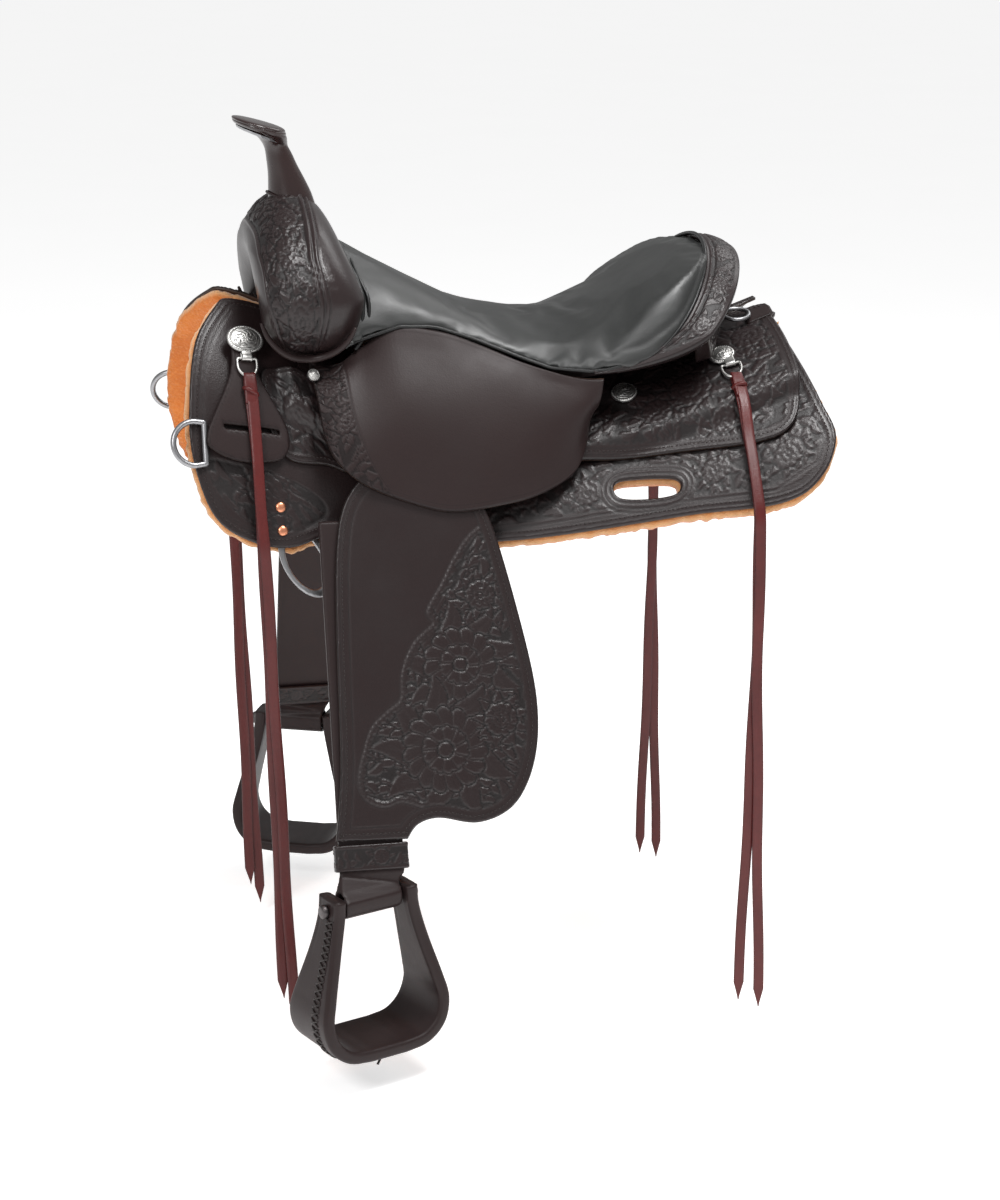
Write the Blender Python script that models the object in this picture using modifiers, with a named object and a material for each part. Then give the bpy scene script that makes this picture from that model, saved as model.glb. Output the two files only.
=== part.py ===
"""Western saddle, built as its separate pieces. Metres, +Z up.

+X runs to the cantle and the horn is at -X. The near (left) side is at -Y.
The origin is on the spine line of the horse's back, at its lowest point, where the lining rests.
Leather panels are flat outlines of (x, s): s is the distance down the back from the spine line.
Each is laid on the back at a height h above it, so the layers are stacked by their heights.
"""
import math

import bmesh
import bpy
import numpy as np
from mathutils import Matrix, Vector, geometry

SIDES = {"near": -1, "off": 1}

# the horse's back: slope below the horizontal, in degrees, at each distance from the spine
BACK_S = (0.0, 0.08, 0.16, 0.24, 0.40)
WITHERS_DEG = (30, 50, 66, 72, 75)
LOIN_DEG = (12, 24, 40, 56, 66)
BACK_HALF_LENGTH = 0.30
WITHERS_RISE = 0.045

LEATHER = 0.004
SKIRT_T = 0.005
FLEECE_DEPTH = 0.013
LAYER_GAP = 0.0015
BAR_BOTTOM, BAR_TOP = SKIRT_T + 0.0017, 0.0165
BAR_FRONT_X, BAR_EDGE_S = -0.224, 0.122

# the plane of the fender, about the pivot at the tree's bar
PIVOT = Vector((-0.13, 0.1525, -0.085))
SPLAY = math.radians(20)
FENDER_T = 0.005

# stirrup, about its bolt
BOLT = Vector((-0.188, 0.287, -0.468))
STIRRUP_TURN = math.radians(23)
STIRRUP_DEPTH_TOP, STIRRUP_DEPTH_TREAD = 0.036, 0.078
STIRRUP_WALL = 0.013
BOLT_R = 0.0055
STRAP_HALF = 0.0325

# horseshoe rims at the cantle: (centre x, reach back, half width, lowest z, rise)
SEAM_RIM = (0.100, 0.112, 0.142, 0.028, 0.110)
ROLL_RIM = (0.105, 0.142, 0.159, 0.018, 0.108)

LEATHER_BROWN = (0.052, 0.030, 0.026)
COLOURS = {  # colour, roughness, metallic
    "leather": (LEATHER_BROWN, 0.45, 0.0),
    "seat": ((0.018, 0.019, 0.019), 0.42, 0.0),
    "string": ((0.16, 0.028, 0.026), 0.5, 0.0),
    "fleece": ((0.80, 0.33, 0.08), 0.95, 0.0),
    "silver": ((0.62, 0.61, 0.60), 0.28, 1.0),
    "steel": ((0.45, 0.45, 0.46), 0.32, 1.0),
    "wood": ((0.42, 0.28, 0.16), 0.6, 0.0),
}

for old in list(bpy.data.objects):
    bpy.data.objects.remove(old)
collection = bpy.data.collections.new("western_saddle")
bpy.context.scene.collection.children.link(collection)


# ------------------------------------------------------------------ the back and other surfaces
def ease(t):
    t = np.clip(t, 0.0, 1.0)
    return t * t * (3 - 2 * t)


def spine_height(x):
    return 0.72 * x * x - 0.03 * x + WITHERS_RISE * ease((-0.10 - x) / 0.17)


TABLE_S = np.linspace(0.0, 0.42, 211)
TABLE_W = np.linspace(0.0, 1.0, 41)


def back_tables():
    """Slope, reach and drop at each (share of loin, distance from the spine)."""
    front = np.radians(np.interp(TABLE_S, BACK_S, WITHERS_DEG))
    rear = np.radians(np.interp(TABLE_S, BACK_S, LOIN_DEG))
    slope = front[None] * (1 - TABLE_W[:, None]) + rear[None] * TABLE_W[:, None]
    middle = (slope[:, 1:] + slope[:, :-1]) / 2
    step = TABLE_S[1] - TABLE_S[0]
    start = np.zeros((len(TABLE_W), 1))
    reach = np.hstack([start, np.cumsum(np.cos(middle) * step, axis=1)])
    drop = np.hstack([start, np.cumsum(np.sin(middle) * step, axis=1)])
    return slope, reach, drop


SLOPE, REACH, DROP = back_tables()


def loin_share(x):
    return ease((x + BACK_HALF_LENGTH) / (2 * BACK_HALF_LENGTH))


def look_up(table, x, s):
    row = loin_share(x) * (len(TABLE_W) - 1)
    col = np.clip(s / (TABLE_S[1] - TABLE_S[0]), 0, len(TABLE_S) - 1.001)
    i = np.minimum(row.astype(int), len(TABLE_W) - 2)
    j = col.astype(int)
    u, v = row - i, col - j
    low = table[i, j] * (1 - v) + table[i, j + 1] * v
    high = table[i + 1, j] * (1 - v) + table[i + 1, j + 1] * v
    return low * (1 - u) + high * u


def on_back(x, s, h, side):
    """Points at distance s down the back and height h off it."""
    x, s = np.asarray(x, float), np.asarray(s, float)
    slope = look_up(SLOPE, x, s)
    y = look_up(REACH, x, s) + h * np.sin(slope)
    z = spine_height(x) - look_up(DROP, x, s) + h * np.cos(slope)
    return np.stack([x, side * y, z], -1)


def back_height(x, y):
    """Height of the bare back at (x, |y|)."""
    s = np.linspace(0, 0.40, 81)
    points = on_back(np.full(81, x), s, 0.0, 1)
    return float(np.interp(abs(y), points[:, 1], points[:, 2]))


def back_frame(x, s, h, side):
    """A frame on the back: X along the horse, -Y down the back, Z outward."""
    here, ahead, down = on_back([x, x + 1e-3, x], [s, s, s + 1e-3], h, side)
    origin = Vector(here)
    along = (Vector(ahead) - origin).normalized()
    up = (origin - Vector(down)).normalized()
    out = along.cross(up).normalized() * (-side)
    along = up.cross(out) if side < 0 else out.cross(up)
    frame = Matrix((along, up, out)).transposed().to_4x4()
    frame.translation = origin
    return frame


def on_fender(x, t, h, side):
    """Points t below the pivot in the fender's plane, h outside its inner face."""
    x, t = np.asarray(x, float), np.asarray(t, float)
    y = PIVOT.y + t * math.sin(SPLAY) + h * math.cos(SPLAY)
    z = PIVOT.z - t * math.cos(SPLAY) + h * math.sin(SPLAY)
    return np.stack([x, side * (y + 0 * x), z + 0 * x], -1)


# ------------------------------------------------------------------ outlines
def smooth_loop(points, corners=(), per=4):
    """A closed curve through the points, sharp at the corner indices."""
    points = np.array(points, float)
    count = len(points)
    ahead, behind = np.roll(points, -1, 0), np.roll(points, 1, 0)
    tangent = (ahead - behind) / 2
    for i in corners:
        tangent[i] = 0
    loop = []
    for i in range(count):
        p, q = points[i], points[(i + 1) % count]
        m, n = tangent[i], tangent[(i + 1) % count]
        for k in range(per):
            t = k / per
            loop.append((2 * t**3 - 3 * t**2 + 1) * p + (t**3 - 2 * t**2 + t) * m
                        + (3 * t**2 - 2 * t**3) * q + (t**3 - t**2) * n)
    return np.array(loop)


def densified(loop, step):
    """The loop with points added on edges longer than a step."""
    loop, points = [tuple(p) for p in loop], []
    for a, b in zip(loop, loop[1:] + loop[:1]):
        count = max(1, math.ceil(math.dist(a, b) / step))
        points += [(a[0] + (b[0] - a[0]) * k / count, a[1] + (b[1] - a[1]) * k / count) for k in range(count)]
    return np.array(points)


def ellipse(cx, cy, rx, ry, count=20):
    angle = np.arange(count) * math.tau / count
    return np.stack([cx + rx * np.cos(angle), cy + ry * np.sin(angle)], -1)


def rounded_box(x0, y0, x1, y1, radius, per=3):
    loop = []
    for cx, cy, start in ((x1 - radius, y1 - radius, 0), (x0 + radius, y1 - radius, 90),
                          (x0 + radius, y0 + radius, 180), (x1 - radius, y0 + radius, 270)):
        for k in range(per + 1):
            a = math.radians(start + 90 * k / per)
            loop.append((cx + radius * math.cos(a), cy + radius * math.sin(a)))
    return np.array(loop)


def inside(points, loop):
    x, y = points[:, 0][:, None], points[:, 1][:, None]
    ax, ay = loop[:, 0][None], loop[:, 1][None]
    bx, by = np.roll(loop[:, 0], -1)[None], np.roll(loop[:, 1], -1)[None]
    crossing = (ay > y) != (by > y)
    height = np.where(by == ay, 1e-12, by - ay)
    return (np.sum(crossing & (x < (bx - ax) * (y - ay) / height + ax), axis=1) % 2) == 1


def edge_distance(points, loop):
    a, b = loop, np.roll(loop, -1, 0)
    along = b - a
    length2 = np.maximum((along**2).sum(1), 1e-18)
    rel = points[:, None] - a[None]
    t = np.clip((rel * along[None]).sum(2) / length2, 0, 1)
    return np.sqrt(((rel - t[..., None] * along[None])**2).sum(2)).min(1)


def fill_outline(outline, holes, pitch):
    """Triangles inside the outline and outside its holes, with a lattice of inner points."""
    loops = [outline] + list(holes)
    low, high = outline.min(0), outline.max(0)
    nx, ny = (np.maximum(1, np.round((high - low) / np.array(pitch)))).astype(int)
    gx, gy = np.meshgrid(np.linspace(low[0], high[0], nx + 1), np.linspace(low[1], high[1], ny + 1))
    lattice = np.stack([gx.ravel(), gy.ravel()], -1)
    keep = inside(lattice, outline)
    for hole in holes:
        keep &= ~inside(lattice, hole)
    for loop in loops:
        keep &= edge_distance(lattice, loop) > 0.35 * min(pitch)
    points, edges = [], []
    for loop in loops:
        start = len(points)
        points += [tuple(p) for p in loop]
        edges += [(start + i, start + (i + 1) % len(loop)) for i in range(len(loop))]
    points += [tuple(p) for p in lattice[keep]]
    verts, _, faces, *_ = geometry.delaunay_2d_cdt([Vector(p) for p in points], edges, [], 0, 1e-7)
    verts = np.array([tuple(v) for v in verts])
    centres = np.array([verts[list(f)].mean(0) for f in faces])
    good = inside(centres, outline)
    for hole in holes:
        good &= ~inside(centres, hole)
    return verts, [tuple(f) for f, ok in zip(faces, good) if ok]


# ------------------------------------------------------------------ objects
def paint(obj, kind):
    material = bpy.data.materials.get(kind) or bpy.data.materials.new(kind)
    material.use_nodes = True
    colour, roughness, metallic = COLOURS[kind]
    shader = material.node_tree.nodes["Principled BSDF"]
    shader.inputs["Base Color"].default_value = (*colour, 1)
    shader.inputs["Roughness"].default_value = roughness
    shader.inputs["Metallic"].default_value = metallic
    obj.data.materials.clear()
    obj.data.materials.append(material)
    return obj


def add(name, data, kind):
    obj = bpy.data.objects.new(name, data)
    collection.objects.link(obj)
    return paint(obj, kind)


def add_bmesh(name, mesh, kind):
    bmesh.ops.recalc_face_normals(mesh, faces=mesh.faces)
    data = bpy.data.meshes.new(name)
    mesh.to_mesh(data)
    mesh.free()
    data.shade_smooth()
    data.set_sharp_from_angle(angle=math.radians(40))
    return add(name, data, kind)


def sheet_solid(name, kind, outline, lower, upper, pitch, holes=()):
    """A closed piece between two mapped copies of one filled outline."""
    flat, faces = fill_outline(np.array(outline), [np.array(h) for h in holes], pitch)
    mesh = bmesh.new()
    sheets = [[mesh.verts.new(p) for p in place(flat[:, 0], flat[:, 1])] for place in (lower, upper)]
    for face in faces:
        mesh.faces.new([sheets[1][i] for i in face])
        mesh.faces.new([sheets[0][i] for i in reversed(face)])
    sides = {}
    for face in faces:
        for a, b in zip(face, face[1:] + face[:1]):
            sides[(a, b)] = True
    for a, b in sides:
        if (b, a) not in sides:
            mesh.faces.new([sheets[0][a], sheets[0][b], sheets[1][b], sheets[1][a]])
    for vertex in [v for v in mesh.verts if not v.link_faces]:
        mesh.verts.remove(vertex)
    return add_bmesh(name, mesh, kind)


def panel(name, kind, outline, h0, thickness, side, pitch=(0.035, 0.022), holes=(), place=on_back):
    """A leather panel. h0 is a height or a function of (x, s)."""
    def height(x, s):
        return h0(x, s) if callable(h0) else h0
    outline = densified(outline, pitch[0])
    return sheet_solid(name, kind, outline,
                       lambda x, s: place(x, s, height(x, s), side),
                       lambda x, s: place(x, s, height(x, s) + thickness, side), pitch, holes)


def loft(name, kind, rings):
    """A solid through closed rings of points, flat at both ends."""
    mesh = bmesh.new()
    rows = [[mesh.verts.new(p) for p in ring] for ring in rings]
    for a, b in zip(rows, rows[1:]):
        for i in range(len(a)):
            j = (i + 1) % len(a)
            mesh.faces.new([a[i], a[j], b[j], b[i]])
    mesh.faces.new(reversed(rows[0]))
    mesh.faces.new(rows[-1])
    return add_bmesh(name, mesh, kind)


def grid_solid(name, kind, upper, lower):
    """A closed piece between two grids of points."""
    mesh = bmesh.new()
    top = [[mesh.verts.new(p) for p in row] for row in upper]
    low = [[mesh.verts.new(p) for p in row] for row in lower]
    rows, cols = len(top), len(top[0])
    for i in range(rows - 1):
        for j in range(cols - 1):
            mesh.faces.new([top[i][j], top[i][j + 1], top[i + 1][j + 1], top[i + 1][j]])
            mesh.faces.new([low[i][j], low[i + 1][j], low[i + 1][j + 1], low[i][j + 1]])
    rim = [(0, j) for j in range(cols)] + [(i, cols - 1) for i in range(1, rows)]
    rim += [(rows - 1, j) for j in range(cols - 2, -1, -1)] + [(i, 0) for i in range(rows - 2, 0, -1)]
    for (i, j), (k, m) in zip(rim, rim[1:] + rim[:1]):
        mesh.faces.new([top[i][j], top[k][m], low[k][m], low[i][j]])
    return add_bmesh(name, mesh, kind)


def wire(name, kind, points, radius, frame, closed=True):
    """A round wire through points given in a frame, as a bevelled curve."""
    curve = bpy.data.curves.new(name, "CURVE")
    curve.dimensions = "3D"
    curve.bevel_depth = radius
    curve.bevel_resolution = 2
    curve.use_fill_caps = not closed
    spline = curve.splines.new("POLY")
    spline.points.add(len(points) - 1)
    for point, p in zip(spline.points, points):
        point.co = (*p, 1)
    spline.use_cyclic_u = closed
    obj = add(name, curve, kind)
    obj.matrix_world = frame
    return obj


def turned(name, kind, profile, frame, steps=20, stretch=1.0):
    """A turned piece about the frame's Z. The profile runs from its top to its base."""
    mesh = bmesh.new()
    verts = [mesh.verts.new((r, 0, z)) for r, z in profile]
    for a, b in zip(verts, verts[1:]):
        mesh.edges.new((a, b))
    data = bpy.data.meshes.new(name)
    mesh.to_mesh(data)
    mesh.free()
    obj = add(name, data, kind)
    screw = obj.modifiers.new("turn", "SCREW")
    screw.steps = screw.render_steps = steps
    screw.use_merge_vertices = True
    screw.merge_threshold = 1e-5
    obj.matrix_world = frame @ Matrix.Diagonal((stretch, 1, 1, 1))
    return obj


def concho(name, x, s, h, side, radius, stretch=1.0):
    profile = [(0, 0.0055), (0.55 * radius, 0.0048), (0.9 * radius, 0.0025), (radius, 0.001), (radius, 0), (0, 0)]
    return turned(name, "silver", profile, back_frame(x, s, h, side), 20, stretch)


# ------------------------------------------------------------------ skirts, lining and jockeys
SKIRT = [(-0.288, 0.040), (-0.302, 0.058), (-0.325, 0.109), (-0.335, 0.174), (-0.335, 0.230), (-0.317, 0.280),
         (-0.283, 0.292), (-0.243, 0.283), (-0.190, 0.240), (-0.120, 0.214), (-0.030, 0.215), (0.069, 0.220),
         (0.160, 0.233), (0.250, 0.257), (0.290, 0.249), (0.311, 0.215), (0.304, 0.168), (0.295, 0.105),
         (0.287, 0.030), (0.280, 0.006), (0.10, 0.006), (-0.10, 0.006), (-0.18, 0.020), (-0.25, 0.030)]
CINCH_SLOT = [(0.095, 0.175), (0.149, 0.190), (0.146, 0.207), (0.094, 0.194)]
FRONT_JOCKEY = [(-0.256, 0.110), (-0.262, 0.135), (-0.257, 0.170), (-0.238, 0.193), (-0.200, 0.177),
                (-0.170, 0.165), (-0.170, 0.108), (-0.215, 0.096)]
REAR_JOCKEY = [(0.000, 0.132), (0.072, 0.149), (0.157, 0.165), (0.235, 0.186), (0.268, 0.184), (0.283, 0.156),
               (0.285, 0.108), (0.281, 0.042), (0.272, 0.010), (0.160, 0.008), (0.060, 0.012), (0.010, 0.060)]
LATIGO_KEEPER = [(-0.288, 0.082), (-0.264, 0.082), (-0.265, 0.120), (-0.239, 0.166), (-0.246, 0.197),
                 (-0.279, 0.214), (-0.311, 0.217), (-0.320, 0.202), (-0.293, 0.130)]
KEEPER_SLOT = [(-0.303, 0.185), (-0.248, 0.170), (-0.2475, 0.1745), (-0.3025, 0.1895)]
BAR = [(BAR_FRONT_X + 0.004, 0.045), (-0.205, 0.030), (0.20, 0.022), (0.228, 0.035), (0.236, 0.080),
       (0.225, 0.112), (0.190, BAR_EDGE_S), (-0.180, BAR_EDGE_S), (-0.213, 0.110), (BAR_FRONT_X, 0.080)]


def grown(loop, by):
    """The loop moved outward along its normals."""
    ahead, behind = np.roll(loop, -1, 0), np.roll(loop, 1, 0)
    tangent = ahead - behind
    normal = np.stack([tangent[:, 1], -tangent[:, 0]], -1) / np.linalg.norm(tangent, axis=1)[:, None]
    x, y = loop[:, 0], loop[:, 1]
    area = np.sum(x * np.roll(y, -1) - np.roll(x, -1) * y)
    return loop + normal * by * math.copysign(1, area)


def over_bar(x, s):
    """Height of a jockey's underside: over the bar at the top, on the skirt lower down."""
    on_skirt = SKIRT_T + LAYER_GAP
    over = BAR_TOP + 0.002
    past_bar = np.maximum(ease((s - BAR_EDGE_S - 0.010) / 0.025), ease((BAR_FRONT_X - 0.004 - x) / 0.020))
    return over + (on_skirt - over) * past_bar


def lining_top(x, s):
    """The lining sinks under the flat rigging dee."""
    recess = ease((s - 0.225) / 0.015) * ease((0.052 - np.abs(x + 0.227)) / 0.012)
    return -0.0015 - 0.003 * recess


def make_skirts(side_name, side):
    skirt = smooth_loop(SKIRT, per=3)
    slot = smooth_loop(CINCH_SLOT, per=3)
    lining = densified(grown(skirt, 0.004), 0.035)
    lining[:, 1] = np.maximum(lining[:, 1], 0.017)
    panel(f"{side_name}_skirt", "leather", skirt, 0.0, SKIRT_T, side, holes=[slot])
    sheet_solid(f"{side_name}_fleece", "fleece", lining,
                lambda x, s: on_back(x, s, -FLEECE_DEPTH, side),
                lambda x, s: on_back(x, s, lining_top(x, s), side), (0.035, 0.022), [grown(slot, 0.001)])
    panel(f"{side_name}_front_jockey", "leather", smooth_loop(FRONT_JOCKEY, per=3), over_bar, LEATHER, side,
          (0.022, 0.011))
    panel(f"{side_name}_rear_jockey", "leather", smooth_loop(REAR_JOCKEY, per=3), over_bar, LEATHER, side,
          (0.035, 0.012))
    panel(f"{side_name}_latigo_keeper", "leather", smooth_loop(LATIGO_KEEPER, per=2), KEEPER_H, 0.003, side,
          (0.03, 0.022), holes=[smooth_loop(KEEPER_SLOT, range(4), per=1)])


def make_bar(side_name, side):
    bar = smooth_loop(BAR, per=2)
    panel(f"{side_name}_tree_bar", "wood", bar, BAR_BOTTOM, BAR_TOP - BAR_BOTTOM, side, (0.035, 0.020))


# ------------------------------------------------------------------ fork and horn
FORK_HALF = [(0.0, 0.195), (0.045, 0.188), (0.095, 0.166), (0.130, 0.130), (0.140, 0.096), (0.127, 0.066),
             (0.102, 0.046), (0.078, 0.037), (0.060, 0.050), (0.048, 0.062), (0.040, 0.088), (0.022, 0.108),
             (0.0, 0.114)]
FORK_LEAN = ((0.03, -0.212), (0.10, -0.213), (0.143, -0.220), (0.195, -0.2215))
FORK_HALF_DEPTH = ((0.03, 0.050), (0.10, 0.056), (0.143, 0.048), (0.180, 0.038), (0.195, 0.026))
FOOT_H = BAR_TOP + 0.002 + LEATHER + 0.0025


def interpolated(pairs, at):
    return np.interp(at, [p[0] for p in pairs], [p[1] for p in pairs])


def mirrored(half):
    """A half outline that starts and ends on the centre line, closed with its mirror image."""
    return list(half) + [(-y, z) for y, z in reversed(half[1:-1])]


def fork_face(loop, rounding, inset, sign):
    """The front or back of the fork: a pillow over the outline, rounded near its edge."""
    def place(y, z):
        d = np.clip(edge_distance(np.stack([y, z], -1), loop) / rounding, 0, 1)
        depth = (interpolated(FORK_HALF_DEPTH, z) - inset) * (0.25 + 0.75 * np.sqrt(1 - (1 - d)**2))
        return np.stack([interpolated(FORK_LEAN, z) + sign * depth, y, z], -1)
    return place


def make_fork():
    """The wooden fork inside, and the leather cover around it."""
    outline = smooth_loop(mirrored(FORK_HALF), per=2)
    # the core is the fork without the cover's thickness; the cover is open under the gullet
    core_half = [(0.0, 0.180), (0.045, 0.174), (0.088, 0.153), (0.118, 0.122), (0.127, 0.096), (0.115, 0.070),
                 (0.095, 0.055), (0.080, 0.053), (0.066, 0.062), (0.056, 0.072), (0.050, 0.092),
                 (0.030, 0.118), (0.0, 0.126)]
    core = smooth_loop(mirrored(core_half), per=2)
    fork = sheet_solid("fork", "wood", core, fork_face(core, 0.03, 0.012, -1), fork_face(core, 0.03, 0.012, 1),
                       (0.03, 0.03))
    cover = sheet_solid("swell_cover", "leather", outline, fork_face(outline, 0.045, 0, -1),
                        fork_face(outline, 0.045, 0, 1), (0.022, 0.02))
    hollow = inflated(fork, 0.0010)
    # the feet stand on the bars and the jockeys, so both are cut to fit the back
    under_feet = rounded_box(-0.310, 0.026, -0.110, 0.170, 0.004, 1)
    for y_sign in SIDES.values():
        for obj in (fork, cover):
            cut(obj, panel("fork_foot_cutter", "wood", under_feet, -0.055, 0.055 + FOOT_H, y_sign, (0.02, 0.02)))
    vent = bmesh.new()
    bmesh.ops.create_cube(vent, size=1)
    vent.transform(Matrix.Translation((-0.213, 0, 0.115)) @ Matrix.Diagonal((0.02, 0.03, 0.03, 1)))
    cut(cover, hollow)
    cut(cover, add_bmesh("fork_vent", vent, "leather"))


def inflated(obj, by):
    """A copy of a mesh object, moved out along its normals."""
    data = obj.data.copy()
    normals = [v.normal.copy() for v in data.vertices]
    for vertex, normal in zip(data.vertices, normals):
        vertex.co += normal * by
    return add(f"{obj.name}_inflated", data, "wood")


def cut(obj, cutter):
    cutter.hide_render = True
    cutter.display_type = "WIRE"
    collection.objects.unlink(cutter)
    cutters.objects.link(cutter)
    boolean = obj.modifiers.new("cut", "BOOLEAN")
    boolean.operation = "DIFFERENCE"
    boolean.object = cutter


def tilted_ring(centre, rx, ry, pitch, count=16, squareness=1.0):
    """An ellipse in a plane pitched about Y; a positive pitch raises its front."""
    ring = []
    for k in range(count):
        a = math.tau * k / count
        u, v = rx * math.cos(a), ry * math.sin(a) * squareness
        ring.append((centre[0] + u * math.cos(pitch), v, centre[2] - u * math.sin(pitch)))
    return ring


HORN_NECK = (  # centre x, z, half length, half width
    (-0.2200, 0.1965, 0.0220, 0.0230), (-0.2225, 0.2080, 0.0185, 0.0185),
    (-0.2275, 0.2240, 0.0140, 0.0145), (-0.2330, 0.2390, 0.0115, 0.0120))
CAP_PITCH = math.radians(21)
CAP_CENTRE = (-0.2500, 0.0, 0.2575)


def make_horn():
    core, shell_out, shell_in = [], [], []
    for x, z, rx, ry in HORN_NECK:
        pitch = CAP_PITCH * (z - 0.1965) / 0.0425
        core.append(tilted_ring((x, 0, z), rx * 0.55, ry * 0.55, pitch))
        shell_out.append(tilted_ring((x, 0, z), rx, ry, pitch))
        shell_in.append(tilted_ring((x, 0, z), rx * 0.55 + 0.0006, ry * 0.55 + 0.0006, pitch))
    plate = Matrix.Rotation(-CAP_PITCH, 3, "Y")
    for out, rx, ry, shift in ((0.0075, 0.010, 0.010, 0.006), (0.0085, 0.024, 0.026, 0.0), (0.0115, 0.024, 0.026, 0.0)):
        offset = plate @ Vector((shift, 0, out - 0.0145))
        centre = (CAP_CENTRE[0] + offset.x, 0, CAP_CENTRE[2] + offset.z)
        core.append(tilted_ring(centre, rx, ry, CAP_PITCH))
    loft("horn_core", "steel", core)
    sleeve("horn_wrap", "leather", shell_out, shell_in)
    cap = []
    for up, rx, ry in ((-0.0025, 0.0275, 0.0300), (0.0005, 0.0290, 0.0315), (0.0035, 0.0280, 0.0305),
                       (0.0050, 0.0200, 0.0220)):
        offset = plate @ Vector((0, 0, up))
        cap.append(tilted_ring((CAP_CENTRE[0] + offset.x, 0, CAP_CENTRE[2] + offset.z), rx, ry, CAP_PITCH, 20))
    loft("horn_cap", "leather", cap)


def sleeve(name, kind, outer, inner):
    """A tube between two stacks of rings."""
    mesh = bmesh.new()
    out = [[mesh.verts.new(p) for p in ring] for ring in outer]
    bore = [[mesh.verts.new(p) for p in ring] for ring in inner]
    count = len(out[0])
    for i in range(count):
        j = (i + 1) % count
        for a, b in zip(out, out[1:]):
            mesh.faces.new([a[i], a[j], b[j], b[i]])
        for a, b in zip(bore, bore[1:]):
            mesh.faces.new([a[j], a[i], b[i], b[j]])
        mesh.faces.new([out[0][j], out[0][i], bore[0][i], bore[0][j]])
        mesh.faces.new([out[-1][i], out[-1][j], bore[-1][j], bore[-1][i]])
    return add_bmesh(name, mesh, kind)


# ------------------------------------------------------------------ seat and cantle
RIDGE = ((-0.155, 0.136), (-0.12, 0.115), (-0.08, 0.092), (-0.045, 0.075), (0.0, 0.066), (0.03, 0.064),
         (0.07, 0.068), (0.11, 0.082), (0.15, 0.104), (0.19, 0.126), (0.212, 0.138))
CREST = ((-0.155, 0.096), (-0.12, 0.091), (-0.085, 0.080), (-0.045, 0.064), (0.0, 0.0495), (0.05, 0.044),
         (0.10, 0.065), (0.13, 0.088), (0.17, 0.116), (0.20, 0.134), (0.212, 0.140))
EDGE_Z = ((-0.155, 0.064), (-0.12, 0.072), (-0.085, 0.067), (-0.045, 0.054), (0.0, 0.036), (0.03, 0.026),
          (0.07, 0.024), (0.10, 0.028))
EDGE_Y = ((-0.155, 0.060), (-0.148, 0.072), (-0.12, 0.080), (-0.08, 0.085), (-0.045, 0.090), (0.0, 0.103),
          (0.03, 0.115), (0.07, 0.131), (0.10, 0.138))
CREST_AT = 0.82
PAD_T = 0.013


def rim_point(rim, degrees):
    """A point of a horseshoe rim; 0 is at the back, 90 at the off end."""
    cx, reach, half, low, rise = rim
    c = max(math.cos(math.radians(degrees)), 0.0)
    return Vector((cx + reach * c**0.6, half * math.sin(math.radians(degrees)), low + rise * c**1.1))


def seat_half_width(x):
    """Half the seat's width at x, and the height of its edge there."""
    x = np.asarray(x, float)
    angles = np.linspace(0, 90, 91)
    rim = np.array([rim_point(SEAM_RIM, a) for a in angles])
    back_y = np.interp(x, rim[::-1, 0], rim[::-1, 1])
    back_z = np.interp(x, rim[::-1, 0], rim[::-1, 2])
    front = x < 0.10
    return (np.where(front, interpolated(EDGE_Y, x), back_y * 0.972),
            np.where(front, interpolated(EDGE_Z, x), back_z))


def seat_top(x, y):
    half, edge = seat_half_width(x)
    q = np.clip(np.abs(y) / np.maximum(half, 0.004), 0, 1)
    ridge, crest = interpolated(RIDGE, x), interpolated(CREST, x)
    inner = ridge + (crest - ridge) * (q / CREST_AT)**2.2
    t = np.clip((q - CREST_AT) / (1 - CREST_AT), 0, 1)
    return np.where(q < CREST_AT, inner, crest + (edge - crest) * t**1.6)


def seat_under(x, y):
    half, edge = seat_half_width(x)
    q = np.clip(np.abs(y) / np.maximum(half, 0.004), 0, 1)
    ridge = interpolated(RIDGE, x)
    straight = ridge + (edge - ridge) * q**2.2
    return np.minimum(straight, seat_top(x, y)) - 0.005 - PAD_T * (1 - q**6)


def seat_outline(shrink=1.0):
    half = [(x, float(interpolated(EDGE_Y, x))) for x in (-0.148, -0.12, -0.08, -0.04, 0.0, 0.035, 0.07)]
    half += [tuple(rim_point(SEAM_RIM, a).xy * 0.972 + Vector((0.028 * 0.10, 0))) for a in (88, 74, 60, 45, 30, 15)]
    loop = [(-0.155, 0.0)] + half + [(0.2065, 0.0)]
    loop += [(x, -y) for x, y in reversed(half)]
    return np.array([(0.02 + (x - 0.02) * shrink, y * shrink) for x, y in loop])


def make_seat():
    def at(surface, down=0.0):
        return lambda x, y: np.stack([x, y, surface(x, y) - down], -1)
    sheet_solid("seat_pad", "seat", seat_outline(), at(seat_under), at(seat_top), (0.03, 0.024))
    sheet_solid("ground_seat", "leather", seat_outline(0.86), at(seat_under, 0.010), at(seat_under, 0.004),
                (0.045, 0.045))


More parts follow.
